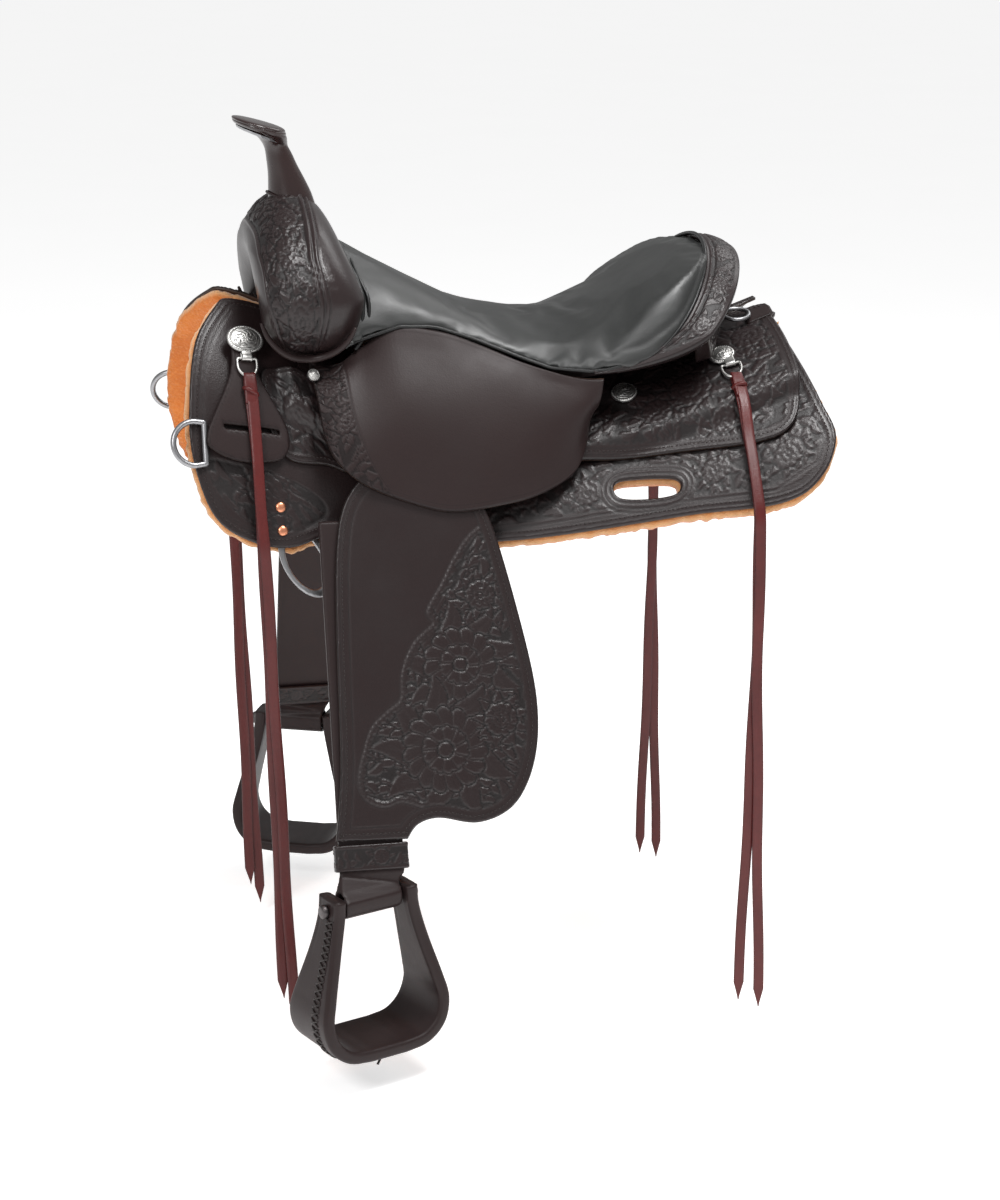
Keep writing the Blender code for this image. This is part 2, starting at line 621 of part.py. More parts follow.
def make_cantle():
    """The leather roll along the rim, and the wooden cantle board under it."""
    band, board = [], []
    for degrees in range(-90, 91, 12):
        seam, roll = rim_point(SEAM_RIM, degrees), rim_point(ROLL_RIM, degrees)
        inward = (Vector((0.10, 0, 0)) - Vector((roll.x, roll.y, 0))).normalized()
        under = roll + inward * 0.010 + Vector((0, 0, -0.012))
        band.append([seam, (seam + roll) / 2 + Vector((0, 0, 0.003)), roll, under, under + inward * 0.004,
                     roll + inward * 0.006 + Vector((0, 0, -0.006)),
                     (seam + roll) / 2 + Vector((0, 0, -0.003)), seam + Vector((0, 0, -0.006))])
        if abs(degrees) > 80:
            continue
        foot_out = roll + inward * 0.022
        foot_in = seam + inward * 0.008
        foot_out.z = back_height(foot_out.x, foot_out.y) + 0.036
        foot_in.z = back_height(foot_in.x, foot_in.y) + 0.036
        top_in = seam - inward * 0.001 + Vector((0, 0, -0.009))
        top_out = roll + inward * 0.0165 + Vector((0, 0, -0.013))
        board.append([top_in, top_out, foot_out, foot_in])
    loft("cantle_roll", "leather", band)
    loft("cantle", "wood", board)


# seat jockey: its top edge follows the seat, its lower edge is given on the back
JOCKEY_TOP = ((-0.213, 0.0895, 0.0350), (-0.185, 0.0920, 0.0330), (-0.160, 0.0845, 0.0480), (-0.125, 0.0850, 0.0665),
              (-0.080, 0.0905, 0.0625), (-0.040, 0.0970, 0.0485), (0.000, 0.1090, 0.0320), (0.035, 0.1225, 0.0210),
              (0.065, 0.1345, 0.0145), (0.094, 0.1430, 0.0115))
JOCKEY_FOOT = ((-0.205, 0.155, 0.038), (-0.196, 0.175, 0.046), (-0.172, 0.185, 0.048), (-0.132, 0.186, 0.047),
               (-0.083, 0.192, 0.043), (-0.033, 0.188, 0.038), (0.008, 0.181, 0.030), (0.045, 0.165, 0.022),
               (0.069, 0.142, 0.0245), (0.086, 0.100, 0.032))
JOCKEY_ROWS = 7


def jockey_point(column, v, side):
    """A point of the seat jockey: v is 0 at the seat and 1 at the lower edge."""
    top = np.array(JOCKEY_TOP[column])
    x, s, h = JOCKEY_FOOT[column]
    foot = on_back(x, s, h, 1)
    fall = foot - top
    out = np.array([0, -fall[2], fall[1]]) / math.hypot(fall[1], fall[2])
    bulge = 0.012 * math.sin(math.pi * v) * (0.5 if column == 0 else 1.0)
    point = top + fall * v + out * bulge
    return point * (1, side, 1), out * (1, side, 1)


def make_seat_jockey(side_name, side):
    upper, lower = [], []
    for column in range(len(JOCKEY_TOP)):
        points = [jockey_point(column, k / (JOCKEY_ROWS - 1), side) for k in range(JOCKEY_ROWS)]
        upper.append([p for p, _ in points])
        lower.append([p - out * LEATHER for p, out in points])
    grid_solid(f"{side_name}_seat_jockey", "leather", upper, lower)


# ------------------------------------------------------------------ metal fittings and strings
KEEPER_H = SKIRT_T + 0.0085
FRONT_CONCHO = (-0.276, 0.092)
MID_CONCHO = (0.112, 0.087)
REAR_CONCHO = (0.218, 0.077)
JOCKEY_SCREW = (-0.2115, 0.105)
STRING_T = 0.003
STRING_W = 0.012


def dee_points(width, height, flat=0.35):
    """A small dee: a straight top bar and a rounded bottom, hanging down -Y."""
    half = width / 2
    points = [(-half, 0, 0), (half, 0, 0)]
    for k in range(7):
        a = math.pi * k / 6
        points.append((half * math.cos(a), -height * flat - height * (1 - flat) * math.sin(a), 0))
    return points


def string_outline(top, split, end, spread):
    """A folded string seen flat: a knot, then two tails that hang side by side."""
    half = STRING_W / 2 + 0.0005
    return [(-half, top), (half, top), (half + 0.001, top + 0.012), (half, top + 0.03),
            (half + spread * 0.2, split), (STRING_W + spread, end - 0.012), (STRING_W / 2 + spread, end),
            (spread, end - 0.012), (0.0008, split), (-0.0008, split),
            (-spread, end - 0.022), (-STRING_W / 2 - spread, end - 0.008), (-STRING_W - spread, end - 0.022),
            (-half - spread * 0.2, split), (-half, top + 0.03), (-half - 0.001, top + 0.012)]


def hanging(x0, x_drift, heights, side):
    """Down the saddle at the (s, h) heights, then straight down from the last. Maps (across, along)."""
    s_hang, s_edge = heights[0][0], heights[-1][0]
    def place(u, v, out):
        s = s_hang + np.clip(v, 0, s_edge - s_hang)
        points = on_back(x0 + x_drift * v + u, s, interpolated(heights, s) + out, side)
        points[:, 2] -= np.maximum(v - (s_edge - s_hang), 0)
        return points
    return place


def make_string(name, place, outline):
    sheet_solid(name, "string", densified(outline, 0.022), lambda u, v: place(u, v, 0.0),
                lambda u, v: place(u, v, STRING_T), (0.05, 0.030))


def make_fittings(side_name, side):
    top_of_keeper = KEEPER_H + 0.003
    concho(f"{side_name}_front_concho", *FRONT_CONCHO, top_of_keeper + 0.001, side, 0.0152, 1.28)
    over = BAR_TOP + 0.002 + LEATHER + 0.001
    concho(f"{side_name}_mid_concho", *MID_CONCHO, over, side, 0.0135)
    concho(f"{side_name}_rear_concho", *REAR_CONCHO, over, side, 0.0135)
    concho(f"{side_name}_jockey_screw", *JOCKEY_SCREW, 0.0385, side, 0.0065)
    dee = dee_points(0.020, 0.019)
    wire(f"{side_name}_front_string_dee", "silver", dee, 0.0014,
         back_frame(-0.2755, 0.1115, top_of_keeper + 0.0025, side))
    wire(f"{side_name}_rear_string_dee", "silver", dee, 0.0014,
         back_frame(0.222, 0.0945, over + 0.002, side))
    make_string(f"{side_name}_front_string",
                hanging(-0.2745, 0.030, ((0.1335, 0.0180), (0.225, 0.0180), (0.265, 0.0115), (0.292, 0.0120)), side),
                string_outline(0.0, 0.10, 0.665, 0.0008))
    make_string(f"{side_name}_rear_string",
                hanging(0.2235, 0.000, ((0.1165, 0.0236), (0.142, 0.0236), (0.180, 0.0130), (0.262, 0.0125)), side),
                string_outline(0.0, 0.30, 0.690, 0.006))
    breast = [(0, 0.022, 0), (0, -0.022, 0)]
    breast += [(-0.010 - 0.022 * math.sin(a), -0.022 * math.cos(a), 0)
               for a in (math.pi * k / 8 for k in range(9))]
    wire(f"{side_name}_breast_dee", "steel", breast, 0.0030, back_frame(-0.3225, 0.212, 0.0095, side))
    panel(f"{side_name}_rigging_dee", "steel", ellipse(-0.227, 0.287, 0.0270, 0.0340, 24), -0.0038, 0.003, side,
          (0.05, 0.05), holes=[ellipse(-0.227, 0.288, 0.0200, 0.0260, 20)])
    tab = rounded_box(0.2610, 0.020, 0.2950, 0.041, 0.005, 2)
    panel(f"{side_name}_rear_ring_tab", "leather", tab, BAR_TOP + 0.007, 0.003, side, (0.03, 0.02))
    ring = [(-0.0135 + 0.0135 * math.cos(a), 0.0125 * math.sin(a), 0) for a in (math.tau * k / 16 for k in range(16))]
    frame = back_frame(0.2585, 0.0300, BAR_TOP + 0.0115, side)
    wire(f"{side_name}_rear_ring", "steel", ring, 0.0022, frame @ Matrix.Rotation(math.radians(15), 4, "Y"))


# ------------------------------------------------------------------ fender, leather and stirrup
FENDER = [(-0.130, -0.028), (-0.095, -0.018), (-0.064, 0.002), (-0.043, 0.034), (-0.019, 0.136), (-0.007, 0.217),
          (-0.013, 0.277), (-0.036, 0.320), (-0.073, 0.336), (-0.113, 0.329), (-0.135, 0.334), (-0.146, 0.3475),
          (-0.2175, 0.3455), (-0.2085, 0.2746), (-0.205, 0.156), (-0.2005, 0.067), (-0.190, 0.015),
          (-0.165, -0.016)]
HOBBLE_TOP, HOBBLE_END, STRAP_FREE = 0.350, 0.376, 0.380
STRAP_X = -0.1825
STRAP_T = 0.0075


def on_strap(side):
    """Maps (out, t, across) for the stirrup leather, which turns from the fender's plane to the bolt's."""
    end_t = (PIVOT.z - BOLT.z) / math.cos(SPLAY)
    def place(a, t, across):
        share = ease((t - STRAP_FREE) / (end_t - STRAP_FREE - 0.012))
        middle = on_fender(np.full_like(t, STRAP_X), t, 0.0, 1)
        goal = np.array([BOLT.x, BOLT.y, 0.0])
        centre = middle + (goal - middle) * share[..., None] * (1, 1, 0)
        turn = STIRRUP_TURN * share
        wide = np.stack([np.cos(turn), np.sin(turn) * -1, 0 * turn], -1)
        out = np.stack([np.sin(turn), np.cos(turn), 0 * turn], -1)
        points = centre + wide * across + out * a[..., None]
        return points * (1, side, 1)
    return place, end_t


def make_leathers(side_name, side):
    fender = smooth_loop(FENDER, corners=(11, 12), per=3)
    panel(f"{side_name}_fender", "leather", fender, 0.0, FENDER_T, side, (0.06, 0.06), place=on_fender)
    place, end_t = on_strap(side)
    inner = -LAYER_GAP - STRAP_T
    outer = -LAYER_GAP
    r = BOLT_R + 0.0075
    loop = [(inner, 0.03), (outer, 0.03), (outer, STRAP_FREE), (0.0035, end_t - 0.016), (r, end_t - 0.008)]
    loop += [(r * math.cos(a), end_t + r * math.sin(a)) for a in (math.pi * k / 6 for k in range(7))]
    loop += [(-r, end_t - 0.008), (-0.0085, end_t - 0.016), (inner, STRAP_FREE)]
    q = BOLT_R + 0.0030
    eye = [(q * math.cos(a), end_t + q * math.sin(a)) for a in (math.pi * k / 6 for k in range(7))]
    eye += [(-q + 0.003, end_t - 0.011), (-0.0015, end_t - 0.015), (q - 0.003, end_t - 0.011)]
    sheet_solid(f"{side_name}_stirrup_leather", "leather", densified(loop, 0.03),
                lambda a, t: place(a, t, -STRAP_HALF), lambda a, t: place(a, t, STRAP_HALF), (0.05, 0.05), [eye])
    hobble_outer = rounded_box(-STRAP_HALF - 0.0045, inner - 0.0045, STRAP_HALF + 0.0045, outer + 0.0045, 0.004, 2)
    hobble_inner = rounded_box(-STRAP_HALF - 0.001, inner - 0.001, STRAP_HALF + 0.001, outer + 0.001, 0.0015, 1)
    sheet_solid(f"{side_name}_hobble_strap", "leather", hobble_outer,
                lambda u, a: on_fender(STRAP_X + u, HOBBLE_TOP + 0 * u, a, side),
                lambda u, a: on_fender(STRAP_X + u, HOBBLE_END + 0 * u, a, side), (0.08, 0.08), [hobble_inner])


STIRRUP_LEG = [(0.0410, 0.0120), (0.0430, -0.0100), (0.0510, -0.0450), (0.0620, -0.0850), (0.0665, -0.1080),
               (0.0600, -0.1300), (0.0430, -0.1440), (0.0200, -0.1475)]


def make_stirrup(side_name, side):
    """The stirrup's wooden arch covered in leather, seen from the front as a band of even thickness."""
    turn = STIRRUP_TURN
    across = Vector((math.cos(turn), -math.sin(turn), 0))
    out = Vector((math.sin(turn), math.cos(turn), 0))
    legs = smooth_loop_open(STIRRUP_LEG, 2)
    path = list(legs) + [(-e, z) for e, z in reversed(legs)]
    half = STIRRUP_WALL / 2
    rings = []
    for i, (e, z) in enumerate(path):
        before, after = path[max(i - 1, 0)], path[min(i + 1, len(path) - 1)]
        run = Vector((after[0] - before[0], after[1] - before[1])).normalized()
        normal = Vector((-run.y, run.x))
        depth = STIRRUP_DEPTH_TOP + (STIRRUP_DEPTH_TREAD - STIRRUP_DEPTH_TOP) * float(ease(-z / 0.14))
        corners = [(half, depth * 0.46), (half * 0.55, depth * 0.5), (-half * 0.55, depth * 0.5),
                   (-half, depth * 0.46), (-half, -depth * 0.46), (-half * 0.55, -depth * 0.5),
                   (half * 0.55, -depth * 0.5), (half, -depth * 0.46)]
        points = []
        for n, d in corners:
            p = BOLT + across * (e + normal.x * n) + out * d + Vector((0, 0, z + normal.y * n))
            points.append((p.x, side * p.y, p.z))
        rings.append(points)
    stirrup = loft(f"{side_name}_stirrup", "leather", rings)
    bolt = bmesh.new()
    bmesh.ops.create_cone(bolt, cap_ends=True, segments=14, radius1=BOLT_R, radius2=BOLT_R, depth=0.100)
    turn_to_axis = Vector((0, 0, 1)).rotation_difference(Vector((across.x, side * across.y, 0)))
    place = Matrix.Translation((BOLT.x, side * BOLT.y, BOLT.z)) @ turn_to_axis.to_matrix().to_4x4()
    bore = bolt.copy()
    bolt.transform(place)
    add_bmesh(f"{side_name}_stirrup_bolt", bolt, "steel")
    bore.transform(place @ Matrix.Diagonal((1.09, 1.09, 1.3, 1)))
    cut(stirrup, add_bmesh(f"{side_name}_bolt_bore", bore, "steel"))


def smooth_loop_open(points, per):
    """A smooth open curve through the points."""
    points = [np.array(p) for p in points]
    padded = [2 * points[0] - points[1]] + points + [2 * points[-1] - points[-2]]
    curve = []
    for a, b, c, d in zip(padded, padded[1:], padded[2:], padded[3:]):
        for k in range(per):
            t = k / per
            curve.append(0.5 * (2 * b + (c - a) * t + (2 * a - 5 * b + 4 * c - d) * t**2
                                + (3 * b - a - 3 * c + d) * t**3))
    curve.append(points[-1])
    return [tuple(float(v) for v in p) for p in curve]


cutters = bpy.data.collections.new("cutters")
bpy.context.scene.collection.children.link(cutters)
make_fork()
make_horn()
make_seat()
make_cantle()
for name_of_side, y_sign in SIDES.items():
    make_skirts(name_of_side, y_sign)
    make_bar(name_of_side, y_sign)
    make_seat_jockey(name_of_side, y_sign)
    make_fittings(name_of_side, y_sign)
    make_leathers(name_of_side, y_sign)
    make_stirrup(name_of_side, y_sign)
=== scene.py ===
import math

import bmesh
import bpy
import numpy as np
from mathutils import Matrix, Vector, geometry, kdtree


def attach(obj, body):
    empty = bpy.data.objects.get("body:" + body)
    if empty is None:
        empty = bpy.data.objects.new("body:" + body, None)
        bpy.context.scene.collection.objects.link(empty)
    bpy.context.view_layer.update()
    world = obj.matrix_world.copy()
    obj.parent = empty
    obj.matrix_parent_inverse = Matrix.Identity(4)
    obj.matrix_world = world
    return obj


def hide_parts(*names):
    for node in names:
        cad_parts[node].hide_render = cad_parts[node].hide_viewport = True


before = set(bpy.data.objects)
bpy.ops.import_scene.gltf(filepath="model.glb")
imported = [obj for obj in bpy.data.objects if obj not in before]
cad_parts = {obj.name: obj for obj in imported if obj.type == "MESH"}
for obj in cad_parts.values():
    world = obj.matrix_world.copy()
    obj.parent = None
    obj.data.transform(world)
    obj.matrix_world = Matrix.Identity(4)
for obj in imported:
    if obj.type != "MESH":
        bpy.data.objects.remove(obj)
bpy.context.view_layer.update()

SIDES = {"near": -1, "off": 1}

# ------------------------------------------------------------------ the back and other surfaces
BACK_S = (0.0, 0.08, 0.16, 0.24, 0.40)
WITHERS_DEG = (30, 50, 66, 72, 75)
LOIN_DEG = (12, 24, 40, 56, 66)
BACK_HALF_LENGTH = 0.30
WITHERS_RISE = 0.045
LEATHER = 0.004
SKIRT_T = 0.005
FLEECE_DEPTH = 0.013
LAYER_GAP = 0.0015
BAR_TOP = 0.0165
BAR_COVER = BAR_TOP + 0.002
BAR_FRONT_X, BAR_EDGE_S = -0.224, 0.122
PIVOT = Vector((-0.13, 0.1525, -0.085))
SPLAY = math.radians(20)
FENDER_T = 0.005
BOLT = Vector((-0.188, 0.287, -0.468))
STIRRUP_TURN = math.radians(23)
STIRRUP_DEPTH_TOP, STIRRUP_DEPTH_TREAD = 0.036, 0.078
STIRRUP_WALL = 0.013
STRAP_HALF = 0.0325
SEAM_RIM = (0.100, 0.112, 0.142, 0.028, 0.110)
ROLL_RIM = (0.105, 0.142, 0.159, 0.018, 0.108)


def ease(t):
    t = np.clip(t, 0.0, 1.0)
    return t * t * (3 - 2 * t)


def interpolated(pairs, at):
    return np.interp(at, [p[0] for p in pairs], [p[1] for p in pairs])


def spine_height(x):
    return 0.72 * x * x - 0.03 * x + WITHERS_RISE * ease((-0.10 - x) / 0.17)


TABLE_S = np.linspace(0.0, 0.42, 211)
TABLE_W = np.linspace(0.0, 1.0, 41)


def back_tables():
    front = np.radians(np.interp(TABLE_S, BACK_S, WITHERS_DEG))
    rear = np.radians(np.interp(TABLE_S, BACK_S, LOIN_DEG))
    slope = front[None] * (1 - TABLE_W[:, None]) + rear[None] * TABLE_W[:, None]
    middle = (slope[:, 1:] + slope[:, :-1]) / 2
    step = TABLE_S[1] - TABLE_S[0]
    start = np.zeros((len(TABLE_W), 1))
    reach = np.hstack([start, np.cumsum(np.cos(middle) * step, axis=1)])
    drop = np.hstack([start, np.cumsum(np.sin(middle) * step, axis=1)])
    return slope, reach, drop


SLOPE, REACH, DROP = back_tables()


def look_up(table, x, s):
    row = ease((x + BACK_HALF_LENGTH) / (2 * BACK_HALF_LENGTH)) * (len(TABLE_W) - 1)
    col = np.clip(s / (TABLE_S[1] - TABLE_S[0]), 0, len(TABLE_S) - 1.001)
    i = np.minimum(row.astype(int), len(TABLE_W) - 2)
    j = col.astype(int)
    u, v = row - i, col - j
    low = table[i, j] * (1 - v) + table[i, j + 1] * v
    high = table[i + 1, j] * (1 - v) + table[i + 1, j + 1] * v
    return low * (1 - u) + high * u


def on_back(x, s, h, side=-1):
    """Points at distance s down the back and height h off it."""
    x, s = np.asarray(x, float), np.asarray(s, float)
    slope = look_up(SLOPE, x, s)
    y = look_up(REACH, x, s) + h * np.sin(slope)
    z = spine_height(x) - look_up(DROP, x, s) + h * np.cos(slope)
    return np.stack([x, side * y, z], -1)


def back_height(x, y, h=0.0):
    """Height of the surface h off the back, at (x, |y|)."""
    s = np.linspace(0, 0.40, 81)
    points = on_back(np.full(81, x), s, h, 1)
    return float(np.interp(abs(y), points[:, 1], points[:, 2]))


def back_frame(x, s, h):
    """A frame on the near side of the back: X along the horse, -Y down the back, Z outward."""
    here, ahead, down = on_back([x, x + 1e-3, x], [s, s, s + 1e-3], h)
    origin = Vector(here)
    along = (Vector(ahead) - origin).normalized()
    up = (origin - Vector(down)).normalized()
    out = along.cross(up).normalized()
    matrix = Matrix((up.cross(out), up, out)).transposed().to_4x4()
    matrix.translation = origin
    return matrix


def on_fender(x, t, h, side=-1):
    """Points t below the pivot in the fender's plane, h outside its inner face."""
    x, t = np.asarray(x, float), np.asarray(t, float)
    y = PIVOT.y + t * math.sin(SPLAY) + h * math.cos(SPLAY)
    z = PIVOT.z - t * math.cos(SPLAY) + h * math.sin(SPLAY)
    return np.stack([x, side * (y + 0 * x), z + 0 * x], -1)


def over_bar(x, s):
    """Height of a jockey's underside: over the tree bar, then down on the skirt."""
    on_skirt = SKIRT_T + LAYER_GAP
    past_bar = np.maximum(ease((s - BAR_EDGE_S - 0.010) / 0.025), ease((BAR_FRONT_X - 0.004 - x) / 0.020))
    return BAR_COVER + (on_skirt - BAR_COVER) * past_bar


# ------------------------------------------------------------------ outlines
def smooth_loop(points, corners=(), per=4):
    """A closed curve through the points, sharp at the corner indices."""
    points = np.array(points, float)
    count = len(points)
    tangent = (np.roll(points, -1, 0) - np.roll(points, 1, 0)) / 2
    for i in corners:
        tangent[i] = 0
    loop = []
    for i in range(count):
        p, q = points[i], points[(i + 1) % count]
        m, n = tangent[i], tangent[(i + 1) % count]
        for k in range(per):
            t = k / per
            loop.append((2 * t**3 - 3 * t**2 + 1) * p + (t**3 - 2 * t**2 + t) * m
                        + (3 * t**2 - 2 * t**3) * q + (t**3 - t**2) * n)
    return np.array(loop)


def resampled(loop, step, closed=True):
    """The line at an even spacing."""
    loop = np.array(loop, float)
    line = np.vstack([loop, loop[:1]]) if closed else loop
    length = np.concatenate([[0], np.cumsum(np.linalg.norm(np.diff(line, axis=0), axis=1))])
    count = max(3, int(round(length[-1] / step)))
    at = np.linspace(0, length[-1], count + 1)
    if closed:
        at = at[:-1]
    return np.stack([np.interp(at, length, line[:, i]) for i in range(line.shape[1])], -1)


def smooth_line(points, step):
    """A smooth open curve through the points, at an even spacing."""
    points = [np.array(p, float) for p in points]
    padded = [2 * points[0] - points[1]] + points + [2 * points[-1] - points[-2]]
    curve = []
    for a, b, c, d in zip(padded, padded[1:], padded[2:], padded[3:]):
        for t in np.arange(8) / 8:
            curve.append(0.5 * (2 * b + (c - a) * t + (2 * a - 5 * b + 4 * c - d) * t**2
                                + (3 * b - a - 3 * c + d) * t**3))
    return resampled(curve + [points[-1]], step, closed=False)


def spread(line, where):
    """Points of a line at shares of its own steps, 0 at its start and 1 at its end."""
    own = np.linspace(0, 1, len(line))
    return np.stack([np.interp(where, own, line[:, i]) for i in range(line.shape[1])], -1)


def full_turn(count):
    return np.arange(count) * math.tau / count


def ellipse(cx, cy, rx, ry, count=64):
    angle = full_turn(count)
    return np.stack([cx + rx * np.cos(angle), cy + ry * np.sin(angle)], -1)


def rounded_box(x0, y0, x1, y1, radius, per=6):
    loop = []
    for cx, cy, start in ((x1 - radius, y1 - radius, 0), (x0 + radius, y1 - radius, 90),
                          (x0 + radius, y0 + radius, 180), (x1 - radius, y0 + radius, 270)):
        for k in range(per + 1):
            a = math.radians(start + 90 * k / per)
            loop.append((cx + radius * math.cos(a), cy + radius * math.sin(a)))
    return np.array(loop)


def grown(loop, by):
    """The loop moved outward along its normals."""
    tangent = np.roll(loop, -1, 0) - np.roll(loop, 1, 0)
    normal = np.stack([tangent[:, 1], -tangent[:, 0]], -1) / np.linalg.norm(tangent, axis=1)[:, None]
    x, y = loop[:, 0], loop[:, 1]
    return loop + normal * by * math.copysign(1, np.sum(x * np.roll(y, -1) - np.roll(x, -1) * y))


def inside(points, loop):
    """Which points are inside the loop, a few thousand at a time."""
    ax, ay = loop[:, 0][None], loop[:, 1][None]
    bx, by = np.roll(loop[:, 0], -1)[None], np.roll(loop[:, 1], -1)[None]
    rise = np.where(by == ay, 1e-12, by - ay)
    result = np.zeros(len(points), bool)
    for i in range(0, len(points), 4000):
        x, y = points[i:i + 4000, 0][:, None], points[i:i + 4000, 1][:, None]
        crossing = (ay > y) != (by > y)
        result[i:i + 4000] = np.sum(crossing & (x < (bx - ax) * (y - ay) / rise + ax), axis=1) % 2 == 1
    return result


def nearest(points, line):
    """Distance to a finely spaced line of points, and the index of the nearest one."""
    tree = kdtree.KDTree(len(line))
    for i, p in enumerate(line):
        tree.insert((p[0], p[1], 0), i)
    tree.balance()
    found = [tree.find((x, y, 0)) for x, y in points]
    return np.array([f[2] for f in found]), np.array([f[1] for f in found])


def triangulated(points, edges):
    """A flat triangulation that keeps the edges: its points, its faces and where each point came from."""
    verts, _, faces, origin, *_ = geometry.delaunay_2d_cdt([Vector(p) for p in points], edges, [], 0, 1e-9)
    return np.array([tuple(v) for v in verts]), np.array([f for f in faces if len(f) == 3]), origin


def fine_fill(outline, holes, pitch):
    """Square cells inside the outline, joined to it by triangles.

    Returns the points, the quads, the triangles and each loop's (start, count) in the points.
    """
    loops = [resampled(outline, pitch)] + [resampled(h, pitch) for h in holes]
    low, high = loops[0].min(0), loops[0].max(0)
    nx, ny = (np.ceil((high - low) / pitch)).astype(int) + 1
    gx, gy = np.meshgrid(low[0] + pitch * (np.arange(nx) - 0.31), low[1] + pitch * (np.arange(ny) - 0.37))
    lattice = np.stack([gx.ravel(), gy.ravel()], -1)
    keep = inside(lattice, loops[0])
    for hole in loops[1:]:
        keep &= ~inside(lattice, hole)
    rim = np.vstack([resampled(loop, pitch / 2) for loop in loops])
    candidates = np.where(keep)[0]
    d, _ = nearest(lattice[candidates], rim)
    keep[candidates[d < 0.62 * pitch]] = False
    k = keep.reshape(ny, nx)
    cells = k[:-1, :-1] & k[1:, :-1] & k[:-1, 1:] & k[1:, 1:]
    i, j = np.where(cells)
    corner = i * nx + j
    quads = np.stack([corner, corner + 1, corner + nx + 1, corner + nx], -1)
    used, inverse = np.unique(quads, return_inverse=True)
    quads = inverse.reshape(-1, 4)
    grid_points = lattice[used]
    edges = np.sort(np.vstack([quads[:, [a, (a + 1) % 4]] for a in range(4)]), axis=1)
    edges, counts = np.unique(edges, axis=0, return_counts=True)
    stairs = edges[counts == 1]
    stair_verts, stairs = np.unique(stairs, return_inverse=True)
    stairs = stairs.reshape(-1, 2)
    points, constraints, spans = [], [], []
    for loop in loops:
        start = len(points)
        points += [tuple(p) for p in loop]
        constraints += [(start + a, start + (a + 1) % len(loop)) for a in range(len(loop))]
        spans.append((start, len(loop)))
    start = len(points)
    points += [tuple(p) for p in grid_points[stair_verts]]
    constraints += [(start + a, start + b) for a, b in stairs]
    verts, faces, origin = triangulated(points, constraints)
    where = np.full(len(verts), -1)
    loops_total = start
    for v, names in enumerate(origin):
        if names:
            n = names[0]
            where[v] = n if n < loops_total else loops_total + stair_verts[n - loops_total]
    centres = verts[faces].mean(1)
    good = inside(centres, loops[0])
    for hole in loops[1:]:
        good &= ~inside(centres, hole)
    cell = np.floor((centres - [gx[0, 0], gy[0, 0]]) / pitch).astype(int)
    ok = (cell[:, 0] >= 0) & (cell[:, 1] >= 0) & (cell[:, 0] < nx - 1) & (cell[:, 1] < ny - 1)
    in_quad = np.zeros(len(centres), bool)
    in_quad[ok] = cells[cell[ok, 1], cell[ok, 0]]
    tris = where[faces[good & ~in_quad]]
    tris = tris[(tris >= 0).all(1)]
    all_points = np.vstack([np.array(points[:loops_total]), grid_points])
    return all_points, quads + loops_total, tris, spans


# ------------------------------------------------------------------ meshes
def mesh_object(name, verts, polygons, attributes=None, smooth=True):
    """A mesh from arrays of polygons. Attributes are one number per vertex."""
    mesh = bpy.data.meshes.new(name)
    groups = [np.array(p) for p in polygons if len(p)]
    loops = np.concatenate([g.ravel() for g in groups])
    totals = np.concatenate([np.full(len(g), g.shape[1]) for g in groups])
    starts = np.concatenate([[0], np.cumsum(totals)[:-1]])
    mesh.vertices.add(len(verts))
    mesh.vertices.foreach_set("co", np.asarray(verts, np.float32).ravel())
    mesh.loops.add(len(loops))
    mesh.loops.foreach_set("vertex_index", loops.astype(np.int32))
    mesh.polygons.add(len(starts))
    mesh.polygons.foreach_set("loop_start", starts.astype(np.int32))
    mesh.polygons.foreach_set("loop_total", totals.astype(np.int32))
    mesh.update(calc_edges=True)
    mesh.validate()
    if smooth:
        mesh.shade_smooth()
    for key, values in (attributes or {}).items():
        layer = mesh.attributes.new(key, "FLOAT", "POINT")
        layer.data.foreach_set("value", np.asarray(values, np.float32))
    obj = bpy.data.objects.new(name, mesh)
    bpy.context.scene.collection.objects.link(obj)
    return obj


def ring_quads(rings, around, closed=False):
    """Quads between rings of points; when closed, the last ring joins the first."""
    i, k = np.meshgrid(np.arange(rings if closed else rings - 1), np.arange(around), indexing="ij")
    n, m = (i + 1) % rings, (k + 1) % around
    return np.stack([i * around + k, i * around + m, n * around + m, n * around + k], -1).reshape(-1, 4)


def ring_caps(rings, around):
    """The two end faces of a row of rings."""
    return np.array([list(range(around))[::-1], [(rings - 1) * around + k for k in range(around)]])


def face_outward(obj):
    """Turns every face's normal outward."""
    mesh = bmesh.new()
    mesh.from_mesh(obj.data)
    bmesh.ops.recalc_face_normals(mesh, faces=mesh.faces)
    mesh.to_mesh(obj.data)
    mesh.free()
    return obj


def mirrored(obj, name):
    """The other side's copy of a near piece."""
    data = obj.data.copy()
    twin = bpy.data.objects.new(name, data)
    bpy.context.scene.collection.objects.link(twin)
    data.transform(Matrix.Diagonal((1, -1, 1, 1)))
    data.flip_normals()
    return twin


def place_pair(make, suffix, body, slot, material, nodes, **declared):
    """Makes a near piece and its off twin, each riding on its side's body."""
    near = make("near_" + suffix)
    pair = [near, mirrored(near, "off_" + suffix)]
    for side_name, obj in zip(SIDES, pair):
        settle(obj, body.format(side=side_name), material, [n.format(side=side_name) for n in nodes])
    return pair


def settle(obj, body, material, nodes=()):
    obj.data.materials.clear()
    obj.data.materials.append(material)
    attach(obj, body)
    if nodes:
        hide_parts(*nodes)
    return obj


